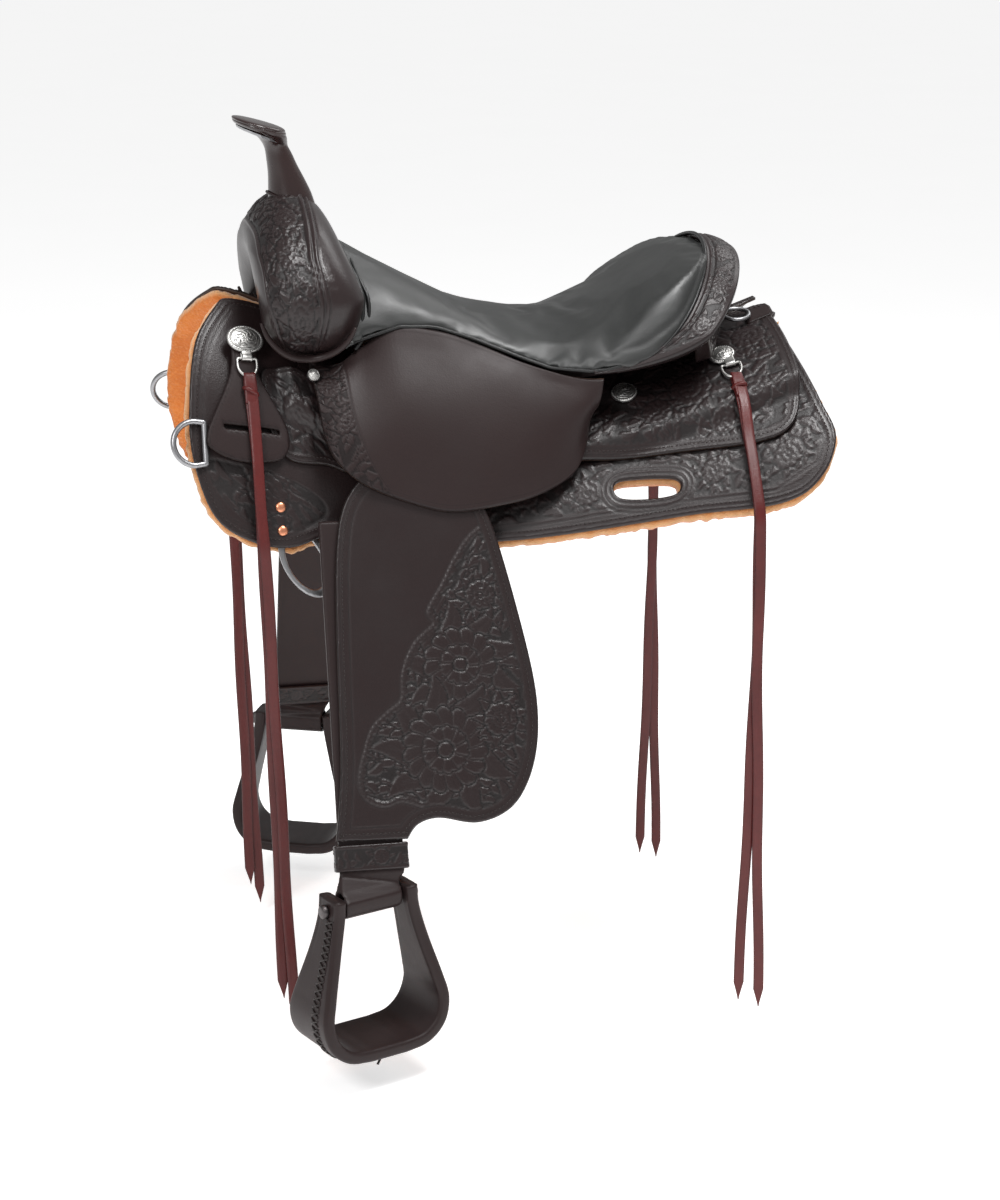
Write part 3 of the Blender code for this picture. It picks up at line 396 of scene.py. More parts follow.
def joined(name, parts):
    """One object from several (verts, polygons, attributes) parts."""
    verts, polys, offset = [], {}, 0
    attributes = {}
    for part_verts, part_polys, part_attributes in parts:
        for p in part_polys:
            p = np.array(p)
            if len(p):
                polys.setdefault(p.shape[1], []).append(p + offset)
        verts.append(np.asarray(part_verts))
        for key, values in part_attributes.items():
            attributes.setdefault(key, []).append(values)
        offset += len(part_verts)
    return mesh_object(name, np.vstack(verts), [np.vstack(p) for p in polys.values()],
                       {k: np.concatenate(v) for k, v in attributes.items()})


def leather_panel(name, outline, place, base, thickness, pitch, holes=(), carve=None, lines=(),
                  rounding=0.0016, lift=None):
    """A leather panel: a fine carved face, rounded edges and a plain underside.

    place(x, s, h) maps the flat panel into space, base(x, s) is the height of its underside,
    carve(points, distance) gives the relief in metres and the shade in 0 to 1,
    and lines are grooves along the edge: (distance, width, depth).
    """
    points, quads, tris, spans = fine_fill(outline, holes, pitch)
    rim = np.vstack([resampled(loop, 0.0006) for loop in [outline] + list(holes)])
    distance, _ = nearest(points, rim)
    distance[:spans[-1][0] + spans[-1][1]] = 0
    relief, shade = np.zeros(len(points)), np.zeros(len(points))
    if carve is not None:
        relief, shade = carve(points, distance)
    for at, width, depth in lines:
        groove = np.exp(-((distance - at) / width)**2)
        relief = relief - depth * groove
        shade = np.maximum(shade, groove * 0.8)
    u = np.clip(1 - distance / rounding, 0, 1)
    edge_drop = rounding * (1 - np.sqrt(np.maximum(1 - u**2, 0)))
    h0 = base(points[:, 0], points[:, 1])
    if lift is not None:
        h0 = h0 + lift(points, distance)
    near_rim = np.clip(distance / 0.002, 0, 1)
    top = place(points[:, 0], points[:, 1], h0 + thickness + relief * near_rim - edge_drop)
    edge = np.clip(1 - distance / 0.0022, 0, 1)
    # underside: the same rim with a coarse middle
    flat = [points[start:start + count] for start, count in spans]
    coarse = np.vstack(flat)
    low, high = coarse.min(0), coarse.max(0)
    step = 0.012
    gx, gy = np.meshgrid(np.arange(low[0], high[0], step), np.arange(low[1], high[1], step))
    inner = np.stack([gx.ravel(), gy.ravel()], -1)
    keep = inside(inner, flat[0])
    for hole in flat[1:]:
        keep &= ~inside(inner, hole)
    d, _ = nearest(inner[keep], rim)
    inner = inner[keep][d > 0.004]
    edges = []
    for start, count in spans:
        edges += [(start + a, start + (a + 1) % count) for a in range(count)]
    low_points = np.vstack([coarse, inner])
    verts, faces, origin = triangulated(low_points, edges)
    where = np.array([names[0] if names else -1 for names in origin])
    centres = verts[faces].mean(1)
    good = inside(centres, flat[0])
    for hole in flat[1:]:
        good &= ~inside(centres, hole)
    faces = where[faces[good]][:, ::-1]
    faces = faces[(faces >= 0).all(1)]
    h_low = base(low_points[:, 0], low_points[:, 1])
    if lift is not None:
        h_low = h_low + lift(low_points, np.concatenate([np.zeros(len(coarse)), np.full(len(inner), 0.05)]))
    under = place(low_points[:, 0], low_points[:, 1], h_low)
    offset = len(top)
    walls = []
    for start, count in spans:
        a = start + np.arange(count)
        b = start + (np.arange(count) + 1) % count
        walls.append(np.stack([a, a + offset, b + offset, b], -1))
    walls = np.vstack(walls)
    verts = np.vstack([top, under])
    plain_top, rim_under, mid_under = np.zeros(len(top)), np.ones(len(coarse)), np.ones(len(inner))
    attributes = {"tool": np.concatenate([shade, np.zeros(len(under))]),
                  "edge": np.concatenate([edge, rim_under, 0 * mid_under]),
                  "under": np.concatenate([plain_top, 0.5 * rim_under, mid_under])}
    obj = mesh_object(name, verts, [np.vstack([quads, walls]), np.vstack([tris, faces + offset])], attributes)
    return face_outward(obj)


# ------------------------------------------------------------------ carving
class Carving:
    """Raised flowers and leaves on a lowered, stippled ground, over flat points."""

    def __init__(self, points, seed):
        self.points = points
        self.height = np.full(len(points), -1.0)
        self.random = np.random.default_rng(seed)

    def leaf(self, base, angle, length, width, bend=0.0):
        p = self.points - base
        close = (np.abs(p) < length * 1.15).all(1)
        p = p[close]
        c, s = math.cos(angle), math.sin(angle)
        t = (p[:, 0] * c + p[:, 1] * s) / length
        w = (-p[:, 0] * s + p[:, 1] * c) - bend * length * t * (1 - t) * 1.6
        inner = (t > 0) & (t < 1)
        half = width * np.sin(np.pi * np.clip(t, 0.001, 0.999)**0.75)**0.8 + 1e-6
        q = np.abs(w) / half
        body = 0.75 - 0.75 * q**3 - 0.9 * np.exp(-(w / (0.11 * width + 0.0003))**2) * (1 - t)
        body += 0.22 * np.sin((t * 7 - q * 1.3) * math.tau) * (q > 0.15) * q
        current = self.height[close]
        current = np.where(inner & (q < 1), body, current)
        current = np.where(inner & (q >= 1) & ((q - 1) * half < 0.0011), -1.25, current)
        self.height[close] = current

    def flower(self, centre, radius, petals=15, turn=0.0):
        p = self.points - centre
        close = (np.abs(p) < radius * 1.15).all(1)
        p = p[close]
        rho = np.hypot(p[:, 0], p[:, 1]) / radius
        theta = np.arctan2(p[:, 1], p[:, 0]) + turn + 0.35 * rho
        lobe = np.abs(np.cos(petals * theta / 2))
        inner_lobe = np.abs(np.cos(round(petals * 0.6) * theta / 2 + 0.5))
        q = rho / (0.86 + 0.14 * lobe**0.6)
        petal = 0.35 + 0.55 * np.sin(np.clip(q, 0, 1) * 2.3) - 1.35 * np.exp(-(lobe / 0.24)**2)
        petal -= 0.45 * np.exp(-((lobe - 0.8) / 0.10)**2) * (q > 0.62)
        petal -= 0.7 * np.clip((q - 0.88) / 0.12, 0, 1)**2
        inside_petal = 0.95 - 1.3 * np.exp(-(inner_lobe / 0.26)**2) - 0.6 * np.clip((q - 0.48) / 0.08, 0, 1)
        heart = 0.7 + 0.4 * np.sin(rho * 95) * np.sin(theta * 7)
        body = np.where(q < 0.56, inside_petal, petal)
        body = np.where(q < 0.20, heart, body)
        body = np.where(np.abs(q - 0.20) < 0.03, -0.9, body)
        body = np.where(np.abs(q - 0.57) < 0.018, -0.7, body)
        current = self.height[close]
        current = np.where(q < 1, body, current)
        current = np.where((q >= 1) & ((q - 1) * radius < 0.0015), -1.3, current)
        self.height[close] = current

    def swirl(self, centre, radius, turn=0.0, count=9):
        """Leaves that fan out around a flower."""
        for k in range(count):
            a = turn + math.tau * k / count
            base = centre + radius * 0.86 * np.array([math.cos(a), math.sin(a)])
            self.leaf(base, a + 0.75, radius * 1.05, radius * 0.24, 0.5)

    def fill(self, allowed, spacing, length, flow):
        """Leaves over the ground wherever allowed(points) holds. flow(x, y) is their direction."""
        low, high = self.points.min(0), self.points.max(0)
        count = int(np.prod((high - low) / spacing) * 1.7) + 4
        seeds = low + self.random.random((count, 2)) * (high - low)
        seeds = seeds[allowed(seeds)]
        chosen = []
        for p in seeds:
            if all(abs(p[0] - q[0]) + abs(p[1] - q[1]) > spacing for q in chosen[-400:]):
                chosen.append(p)
        for p in chosen:
            a = flow(*p) + self.random.normal() * 0.45
            size = length * (0.75 + 0.5 * self.random.random())
            self.leaf(p, a, size, size * 0.22, self.random.choice([-0.5, 0.5]))


def carving(flowers, seed, region, spacing=0.011, length=0.020, flow=None, depth=0.0010, margin=0.010):
    """A carve function for a panel: foliage inside the region, plain leather outside it."""
    flow = flow or (lambda x, y: 1.1 * math.sin(37 * x) + 2.1 * math.cos(29 * y + 1.0))

    def carve(points, distance):
        mask = region(points) & (distance > margin)
        relief, shade = np.zeros(len(points)), np.zeros(len(points))
        if not mask.any():
            return relief, shade
        work = Carving(points[mask], seed)
        work.fill(lambda p: region(p), spacing, length, flow)
        for k, (centre, radius) in enumerate(flowers):
            work.swirl(np.array(centre), radius, 0.7 * k)
            work.flower(np.array(centre), radius, 13 + 2 * (k % 3) if radius > 0.025 else 11, 0.4 * k)
        ground = work.random.random(mask.sum()) * 0.25
        value = np.where(work.height <= -1, work.height + ground, work.height)
        relief[mask] = depth * (value * 0.62 - 0.12)
        # painted shade: the lower the carving, the darker it is painted
        shade[mask] = np.clip(0.42 - value * 0.48, 0, 1)
        return relief, shade
    return carve


def band(region_loop, line_width=0.0011):
    """A groove along a loop inside a panel."""
    line = resampled(region_loop, 0.0006)

    def groove(points):
        d, _ = nearest(points, line)
        return np.exp(-(d / line_width)**2)
    return groove


def stitches(name, line, place, height, length=0.0030, gap=0.0014, width=0.00055, closed=True):
    """A row of stitches along a flat line, laid on a surface."""
    line = resampled(line, length + gap, closed)
    ahead = np.roll(line, -1, 0) if closed else np.vstack([line[1:], line[-1:]])
    run = ahead - line
    size = np.linalg.norm(run, axis=1)
    use = size > 0.4 * length
    line, run = line[use], run[use] / size[use][:, None]
    normal = np.stack([-run[:, 1], run[:, 0]], -1)
    rings = []
    sides = 6
    # a stitch's rings: place along it, size, rise above the surface
    stitch = ((-0.5, 0.25, -0.2), (-0.36, 0.9, 0.45), (0.0, 1.0, 0.7), (0.36, 0.9, 0.45), (0.5, 0.25, -0.2))
    for t, r, up in stitch:
        for k in range(sides):
            a = math.tau * k / sides
            p = line + run * (t * length) + normal * (width * r * math.cos(a))
            rings.append(place(p[:, 0], p[:, 1], height(p[:, 0], p[:, 1]) + width * (up + r * math.sin(a))))
    rings = np.stack(rings, 1)
    count = len(line)
    verts = rings.reshape(-1, 3)
    base = np.arange(count)[:, None] * (5 * sides)
    quads, caps = [], []
    for i in range(4):
        for k in range(sides):
            m = (k + 1) % sides
            quad = [i * sides + k, i * sides + m, (i + 1) * sides + m, (i + 1) * sides + k]
            quads.append(base + np.array(quad))
    for ring in (0, 4):
        order = [ring * sides + k for k in range(sides)]
        caps.append(base + np.array(order if ring == 4 else order[::-1]))
    return face_outward(mesh_object(name, verts, [np.vstack(quads), np.vstack(caps)]))


def tube(path, radii, sides=12, closed=False, flat=1.0, up=(0, 0, 1)):
    """A tube's verts and quads along a path; flat squashes it across its side direction."""
    path = np.array(path, float)
    count = len(path)
    radii = np.broadcast_to(np.asarray(radii, float), (count,))
    if closed:
        tangent = np.roll(path, -1, 0) - np.roll(path, 1, 0)
    else:
        tangent = np.gradient(path, axis=0)
    tangent /= np.linalg.norm(tangent, axis=1)[:, None]
    side = np.cross(tangent, np.array(up, float))
    side /= np.linalg.norm(side, axis=1)[:, None] + 1e-12
    other = np.cross(side, tangent)
    angle = full_turn(sides)
    rings = (path[:, None] + side[:, None] * np.cos(angle)[None, :, None] * radii[:, None, None]
             + other[:, None] * (np.sin(angle) * flat)[None, :, None] * radii[:, None, None])
    polys = [ring_quads(count, sides, closed)]
    if not closed:
        polys.append(ring_caps(count, sides))
    return rings.reshape(-1, 3), polys


def tube_object(name, path, radii, **more):
    verts, polys = tube(path, radii, **more)
    return face_outward(mesh_object(name, verts, polys))


# ------------------------------------------------------------------ materials
def new_material(name):
    material = bpy.data.materials.new(name)
    material.use_nodes = True
    nodes, links = material.node_tree.nodes, material.node_tree.links
    shader = nodes["Principled BSDF"]

    def node(kind, **inputs):
        made = nodes.new(kind)
        for key, value in inputs.items():
            if key.startswith("set_"):
                setattr(made, key[4:], value)
            elif isinstance(value, bpy.types.NodeSocket):
                links.new(value, made.inputs[key.replace("_", " ")])
            else:
                made.inputs[key.replace("_", " ")].default_value = value
        return made
    return material, node, links, shader


def math_node(node, operation, a, b=0.0, clamp=False):
    made = node("ShaderNodeMath", set_operation=operation, set_use_clamp=clamp)
    for socket, value in zip(made.inputs, (a, b)):
        if isinstance(value, bpy.types.NodeSocket):
            made.id_data.links.new(value, socket)
        else:
            socket.default_value = value
    return made.outputs[0]


def mix_colours(node, factor, a, b):
    made = node("ShaderNodeMix", set_data_type="RGBA")
    tree = made.id_data
    for index, value in ((0, factor), (6, a), (7, b)):
        if isinstance(value, bpy.types.NodeSocket):
            tree.links.new(value, made.inputs[index])
        else:
            made.inputs[index].default_value = (*value, 1) if isinstance(value, tuple) else value
    return made.outputs[2]


def stretch(node, value, low, high, to_low, to_high):
    made = node("ShaderNodeMapRange", set_clamp=True)
    made.id_data.links.new(value, made.inputs[0])
    for index, number in zip((1, 2, 3, 4), (low, high, to_low, to_high)):
        made.inputs[index].default_value = number
    return made.outputs[0]


def attribute(node, name):
    made = node("ShaderNodeAttribute")
    made.attribute_name = name
    return made.outputs["Fac"]


def leather(name, base, dark, roughness=0.46, grain=620.0, grain_depth=0.00018, edge=None, specular=0.45,
            coat=0.0, mottling=0.35, under=None, streaks=0.0):
    """Dyed leather: mottled dye, pores, painted shade in the carving's grooves, worn edges and a rough back.
    """
    material, node, links, shader = new_material(name)
    place = node("ShaderNodeTexCoord").outputs["Object"]
    clouds = node("ShaderNodeTexNoise", Vector=place, Scale=14.0, Detail=5.0, Roughness=0.6).outputs["Fac"]
    fine = node("ShaderNodeTexNoise", Vector=place, Scale=210.0, Detail=4.0, Roughness=0.65).outputs["Fac"]
    dye = math_node(node, "ADD", math_node(node, "MULTIPLY", clouds, 0.65),
                    math_node(node, "MULTIPLY", fine, 0.35))
    share = stretch(node, dye, 0.36, 0.64, 0.0, mottling)
    colour = mix_colours(node, share, base, dark)
    # painted shade: carved grooves and the lowered ground are darkened toward the deep brown
    tool = attribute(node, "tool")
    colour = mix_colours(node, stretch(node, tool, 0.25, 0.95, 0.0, 0.85), colour,
                         tuple(c * 0.35 for c in dark))
    edge_share = math_node(node, "MULTIPLY", attribute(node, "edge"),
                           stretch(node, fine, 0.35, 0.6, 0.35, 0.9))
    colour = mix_colours(node, edge_share, colour, edge or tuple(c * 0.55 for c in dark))
    if under:
        colour = mix_colours(node, attribute(node, "under"), colour, under)
    links.new(colour, shader.inputs["Base Color"])
    rough = stretch(node, clouds, 0.3, 0.7, roughness - 0.05, roughness + 0.07)
    rough = math_node(node, "ADD", rough, math_node(node, "MULTIPLY", tool, 0.16), clamp=True)
    if under:
        rough = math_node(node, "ADD", rough, math_node(node, "MULTIPLY", attribute(node, "under"), 0.35),
                          clamp=True)
    links.new(rough, shader.inputs["Roughness"])
    pores = node("ShaderNodeTexVoronoi", Vector=place, Scale=grain, set_feature="F1").outputs["Distance"]
    creases = node("ShaderNodeTexNoise", Vector=place, Scale=grain * 0.45, Detail=3.0,
                   Roughness=0.6).outputs["Fac"]
    height = math_node(node, "ADD", math_node(node, "MULTIPLY", pores, 0.6),
                       math_node(node, "MULTIPLY", creases, 0.9))
    if streaks:
        long_grain = node("ShaderNodeMapping", Vector=place, Scale=(40.0, 900.0, 40.0)).outputs[0]
        line = node("ShaderNodeTexNoise", Vector=long_grain, Scale=1.0, Detail=2.0).outputs["Fac"]
        height = math_node(node, "ADD", height, math_node(node, "MULTIPLY", line, streaks))
    bump = node("ShaderNodeBump", Height=height, Strength=0.7, Distance=grain_depth)
    links.new(bump.outputs["Normal"], shader.inputs["Normal"])
    shader.inputs["Specular IOR Level"].default_value = specular
    shader.inputs["Coat Weight"].default_value = coat
    shader.inputs["Coat Roughness"].default_value = 0.32
    return material


def metal(name, light, dark, roughness, brushed=0.0, spots=0.3):
    """Plated metal with tarnish in its recesses and fine scratches."""
    material, node, links, shader = new_material(name)
    place = node("ShaderNodeTexCoord").outputs["Object"]
    tarnish = node("ShaderNodeTexNoise", Vector=place, Scale=90.0, Detail=5.0, Roughness=0.65).outputs["Fac"]
    share = stretch(node, tarnish, 0.45, 0.7, 0.0, spots)
    share = math_node(node, "ADD", share, stretch(node, attribute(node, "tool"), 0.2, 0.9, 0.0, 0.85),
                      clamp=True)
    links.new(mix_colours(node, share, light, dark), shader.inputs["Base Color"])
    links.new(stretch(node, tarnish, 0.3, 0.7, roughness - 0.06, roughness + 0.12),
              shader.inputs["Roughness"])
    scratches = node("ShaderNodeTexNoise", Vector=node("ShaderNodeMapping", Vector=place,
                     Scale=(300.0, 2600.0, 300.0)).outputs[0], Scale=1.0, Detail=3.0).outputs["Fac"]
    bump = node("ShaderNodeBump", Height=scratches, Strength=0.25 + brushed, Distance=0.00006)
    links.new(bump.outputs["Normal"], shader.inputs["Normal"])
    shader.inputs["Metallic"].default_value = 1.0
    return material


def fleece_material():
    material, node, links, shader = new_material("fleece")
    place = node("ShaderNodeTexCoord").outputs["Object"]
    tufts = node("ShaderNodeTexVoronoi", Vector=place, Scale=300.0).outputs["Distance"]
    curls = node("ShaderNodeTexNoise", Vector=place, Scale=340.0, Detail=5.0, Roughness=0.7).outputs["Fac"]
    clouds = node("ShaderNodeTexNoise", Vector=place, Scale=22.0, Detail=4.0).outputs["Fac"]
    colour = mix_colours(node, stretch(node, clouds, 0.35, 0.68, 0.0, 1.0), (0.60, 0.185, 0.036),
                         (0.47, 0.125, 0.022))
    # lighter curls: painted highlights on the wool
    colour = mix_colours(node, stretch(node, curls, 0.5, 0.75, 0.0, 0.55), colour, (0.72, 0.32, 0.10))
    colour = mix_colours(node, stretch(node, attribute(node, "tool"), 0.0, 1.0, 0.0, 0.75), colour,
                         (0.58, 0.38, 0.20))
    links.new(colour, shader.inputs["Base Color"])
    shader.inputs["Roughness"].default_value = 0.95
    shader.inputs["Specular IOR Level"].default_value = 0.15
    shader.inputs["Sheen Weight"].default_value = 0.35
    shader.inputs["Sheen Roughness"].default_value = 0.5
    bump = node("ShaderNodeBump", Height=math_node(node, "ADD", tufts, curls), Strength=0.8, Distance=0.0009)
    links.new(bump.outputs["Normal"], shader.inputs["Normal"])
    return material


BROWN, DEEP = (0.0170, 0.0098, 0.0098), (0.0090, 0.0052, 0.0052)
TOOLED = leather("tooled leather", BROWN, DEEP, 0.34, specular=0.42, under=(0.09, 0.045, 0.025))
SMOOTH = leather("smooth leather", (0.0215, 0.0132, 0.0130), (0.0160, 0.0098, 0.0098), 0.44, specular=0.22,
                 grain_depth=0.00010, under=(0.09, 0.045, 0.025))
GLOSSY = leather("glossy leather", (0.020, 0.0088, 0.0082), (0.011, 0.0055, 0.0052), 0.24,
                 grain_depth=0.00006, specular=0.5, coat=0.2)
BLACK = leather("black leather", (0.0105, 0.0115, 0.0108), (0.0075, 0.0082, 0.0078), 0.45, grain=900.0,
                grain_depth=0.00010, specular=0.75, mottling=0.6)
PIPING = leather("black piping", (0.006, 0.006, 0.006), (0.004, 0.004, 0.004), 0.40)
LATIGO = leather("latigo leather", (0.095, 0.0125, 0.0115), (0.050, 0.0070, 0.0065), 0.36,
                 edge=(0.028, 0.005, 0.005), specular=0.35, mottling=0.6, streaks=0.5)
THREAD = leather("thread", (0.016, 0.010, 0.009), (0.010, 0.006, 0.0055), 0.55, grain=1500.0)
FLEECE = fleece_material()
SILVER = metal("engraved silver", (0.60, 0.59, 0.57), (0.10, 0.095, 0.09), 0.36)
STEEL = metal("dull steel", (0.33, 0.33, 0.34), (0.15, 0.15, 0.15), 0.36, brushed=0.3)
BOLT_STEEL = metal("blackened bolt", (0.10, 0.09, 0.09), (0.04, 0.035, 0.035), 0.42)
COPPER = metal("copper rivet", (0.80, 0.33, 0.19), (0.40, 0.14, 0.08), 0.33)
WOOD_HIDDEN = leather("rawhide", (0.030, 0.018, 0.014), (0.020, 0.012, 0.010), 0.6)

# ------------------------------------------------------------------ outlines of the panels, as in the CAD
SKIRT = [(-0.288, 0.040), (-0.302, 0.058), (-0.325, 0.109), (-0.335, 0.174), (-0.335, 0.230), (-0.317, 0.280),
         (-0.283, 0.292), (-0.243, 0.283), (-0.190, 0.240), (-0.120, 0.214), (-0.030, 0.215), (0.069, 0.220),
         (0.160, 0.233), (0.250, 0.257), (0.290, 0.249), (0.311, 0.215), (0.304, 0.168), (0.295, 0.105),
         (0.287, 0.030), (0.280, 0.006), (0.10, 0.006), (-0.10, 0.006), (-0.18, 0.020), (-0.25, 0.030)]
CINCH_SLOT = [(0.095, 0.175), (0.149, 0.190), (0.146, 0.207), (0.094, 0.194)]
FRONT_JOCKEY = [(-0.256, 0.110), (-0.262, 0.135), (-0.257, 0.170), (-0.238, 0.193), (-0.200, 0.177),
                (-0.170, 0.165), (-0.170, 0.108), (-0.215, 0.096)]
REAR_JOCKEY = [(0.000, 0.132), (0.072, 0.149), (0.157, 0.165), (0.235, 0.186), (0.268, 0.184), (0.283, 0.156),
               (0.285, 0.108), (0.281, 0.042), (0.272, 0.010), (0.160, 0.008), (0.060, 0.012), (0.010, 0.060)]
LATIGO_KEEPER = [(-0.288, 0.082), (-0.264, 0.082), (-0.265, 0.120), (-0.239, 0.166), (-0.246, 0.197),
                 (-0.279, 0.214), (-0.311, 0.217), (-0.320, 0.202), (-0.293, 0.130)]
KEEPER_SLOT = [(-0.303, 0.185), (-0.248, 0.170), (-0.2475, 0.1745), (-0.3025, 0.1895)]
FENDER = [(-0.130, -0.028), (-0.095, -0.018), (-0.064, 0.002), (-0.043, 0.034), (-0.019, 0.136),
          (-0.007, 0.217), (-0.013, 0.277), (-0.036, 0.320), (-0.073, 0.336), (-0.113, 0.329),
          (-0.135, 0.334), (-0.146, 0.3475), (-0.2175, 0.3455), (-0.2085, 0.2746), (-0.205, 0.156),
          (-0.2005, 0.067), (-0.190, 0.015), (-0.165, -0.016)]

skirt_loop = smooth_loop(SKIRT, per=8)
slot_loop = smooth_loop(CINCH_SLOT, per=8)


def everywhere(points):
    return np.ones(len(points), bool)


def flat_height(value):
    return lambda x, s: value + 0 * x


def in_loop(loop):
    loop = np.array(loop, float)
    return lambda points: inside(points, loop)


# ------------------------------------------------------------------ skirts and lining
def make_skirt(name):
    lobe = smooth_loop([(-0.319, 0.226), (-0.285, 0.219), (-0.240, 0.213), (-0.208, 0.216), (-0.206, 0.232),
                        (-0.236, 0.262), (-0.272, 0.275), (-0.303, 0.262), (-0.318, 0.243)], per=5)
    rear = np.array([(-0.10, 0.14), (0.30, 0.14), (0.30, 0.2), (0.285, 0.226), (0.245, 0.236), (0.155, 0.212),
                     (0.069, 0.199), (-0.03, 0.197), (-0.10, 0.196)])
    frame_loop = grown(slot_loop, 0.0155)
    lobe_d, rear_d = resampled(lobe, 0.001), resampled(rear, 0.001)

    def region(p):
        return (inside(p, lobe_d) | (inside(p, rear_d) & ~inside(p, frame_loop)))
    foliage = carving([((-0.262, 0.236), 0.021), ((0.062, 0.180), 0.014), ((0.190, 0.196), 0.015),
                       ((0.262, 0.210), 0.016), ((0.000, 0.172), 0.013)], 7, region, 0.0105, 0.019,
                      lambda x, s: 0.35 + 0.9 * math.sin(45 * x) if x > -0.1 else 2.0 + 26 * (x + 0.262))
    around_slot = [band(grown(slot_loop, g)) for g in (0.004, 0.0095, 0.014)]
    around_lobe = band(lobe)
    low_line = [band(grown(rear, g)) for g in (0.0015, 0.006)]

    def carve(points, distance):
        relief, shade = foliage(points, distance)
        plain = ~region(points)
        for k, groove in enumerate(around_slot):
            g = groove(points) * (plain | (k == 2))
            relief -= 0.0006 * g
            shade = np.maximum(shade, 0.75 * g)
        for groove in [around_lobe] + low_line:
            g = groove(points) * (distance > 0.010)
            relief -= 0.0006 * g
            shade = np.maximum(shade, 0.75 * g)
        return relief, shade
    lines = [(0.0045, 0.0009, 0.0007), (0.0100, 0.0009, 0.0006), (0.0135, 0.0008, 0.0005)]
    return leather_panel(name, skirt_loop, on_back, flat_height(0.0), SKIRT_T, PITCH_SKIRT, [slot_loop],
                         carve, lines)


def make_fleece(name):
    """The lining: suede-like skin with a woolly pile that shows at its edges."""
    rng = np.random.default_rng(11)
    loop = resampled(grown(skirt_loop, 0.0035), 0.0022)
    loop[:, 1] = np.maximum(loop[:, 1], 0.017)
    wobble = rng.normal(size=len(loop))
    wobble = (wobble + np.roll(wobble, 1) + np.roll(wobble, 2)) / 3
    loop = loop + (grown(loop, 0.0012) - loop) * wobble[:, None]
    hole = resampled(grown(slot_loop, -0.0012), 0.0022)

    def ragged(points, distance):
        return np.zeros(len(points)), np.clip(1 - distance / 0.006, 0, 1)

    def pile(x, s, h):
        bumps = np.sin(x * 900 + 3 * np.sin(s * 700)) * np.sin(s * 830 + 2 * np.sin(x * 610))
        soft = np.where(h < -0.006, -0.0006 + 0.0006 * bumps, 0.0)
        return on_back(x, s, h + soft)

    def recess(points, distance):
        return -0.003 * rigging_recess(points[:, 0], points[:, 1]) * (distance > 0.004)
    return leather_panel(name, loop, pile, flat_height(-FLEECE_DEPTH + 0.0008), FLEECE_DEPTH - 0.0026, 0.0032,
                         [hole], ragged, (), 0.004, lift=recess)


def rigging_recess(x, s):
    """1 where the rigging dee lies against the lining, 0 elsewhere."""
    return ease((s - 0.225) / 0.015) * ease((0.052 - np.abs(x + 0.227)) / 0.012)


PITCH_SKIRT = 0.0016
PITCH_FINE = 0.0014

place_pair(make_skirt, "skirt_leather_carved", "saddle", "skirt_leather", TOOLED, ["{side}_skirt"])
place_pair(make_fleece, "woolskin_lining", "saddle", "lining", FLEECE, ["{side}_fleece"])


def make_front_jockey(name):
    loop = smooth_loop(FRONT_JOCKEY, per=8)
    foliage = carving([((-0.226, 0.142), 0.017)], 5, everywhere, 0.010, 0.018, margin=0.0095)
    return leather_panel(name, loop, on_back, over_bar, LEATHER, PITCH_FINE, (), foliage,
                         [(0.0035, 0.0008, 0.0006), (0.0085, 0.0008, 0.0006)])


def make_rear_jockey(name):
    loop = smooth_loop(REAR_JOCKEY, per=8)
    foliage = carving([((0.178, 0.105), 0.021), ((0.140, 0.120), 0.015), ((0.238, 0.135), 0.018),
                       ((0.250, 0.060), 0.018), ((0.200, 0.040), 0.020), ((0.205, 0.150), 0.013)], 3,
                      everywhere, 0.0115, 0.022,
                      lambda x, s: 0.5 + 1.2 * math.sin(33 * x + 20 * s), margin=0.0125)
    return leather_panel(name, loop, on_back, over_bar, LEATHER, PITCH_FINE, (), foliage,
                         [(0.0035, 0.0008, 0.0006), (0.0085, 0.0008, 0.0005), (0.0115, 0.0008, 0.0006)])


place_pair(make_front_jockey, "front_jockey_carved", "saddle", "skirt_leather", TOOLED,
           ["{side}_front_jockey"])
place_pair(make_rear_jockey, "rear_jockey_carved", "saddle", "skirt_leather", TOOLED, ["{side}_rear_jockey"])

KEEPER_H = SKIRT_T + 0.0085


def make_keeper(name):
    loop = smooth_loop(LATIGO_KEEPER, per=8)
    slot = resampled(np.array(KEEPER_SLOT), 0.0012)
    return leather_panel(name, loop, on_back, flat_height(KEEPER_H), 0.003, 0.0018, [slot], None,
                         [(0.0030, 0.0007, 0.0004)], rounding=0.0012)


place_pair(make_keeper, "latigo_keeper_plate", "saddle", "skirt_leather", SMOOTH, ["{side}_latigo_keeper"])


# ------------------------------------------------------------------ seat jockey
# its rear end is 14 mm shorter than the CAD's, which leaves the middle concho in view
JOCKEY_TOP = ((-0.213, 0.0895, 0.0350), (-0.185, 0.0920, 0.0330), (-0.160, 0.0845, 0.0480),
              (-0.125, 0.0850, 0.0665), (-0.080, 0.0905, 0.0625), (-0.040, 0.0970, 0.0485),
              (0.000, 0.1090, 0.0320), (0.035, 0.1225, 0.0210), (0.060, 0.1330, 0.0155),
              (0.080, 0.1395, 0.0140))
JOCKEY_FOOT = ((-0.205, 0.155, 0.038), (-0.196, 0.175, 0.046), (-0.172, 0.185, 0.048), (-0.132, 0.186, 0.047),
               (-0.083, 0.192, 0.043), (-0.033, 0.188, 0.038), (0.008, 0.181, 0.030), (0.045, 0.165, 0.022),
               (0.062, 0.142, 0.0245), (0.073, 0.104, 0.032))


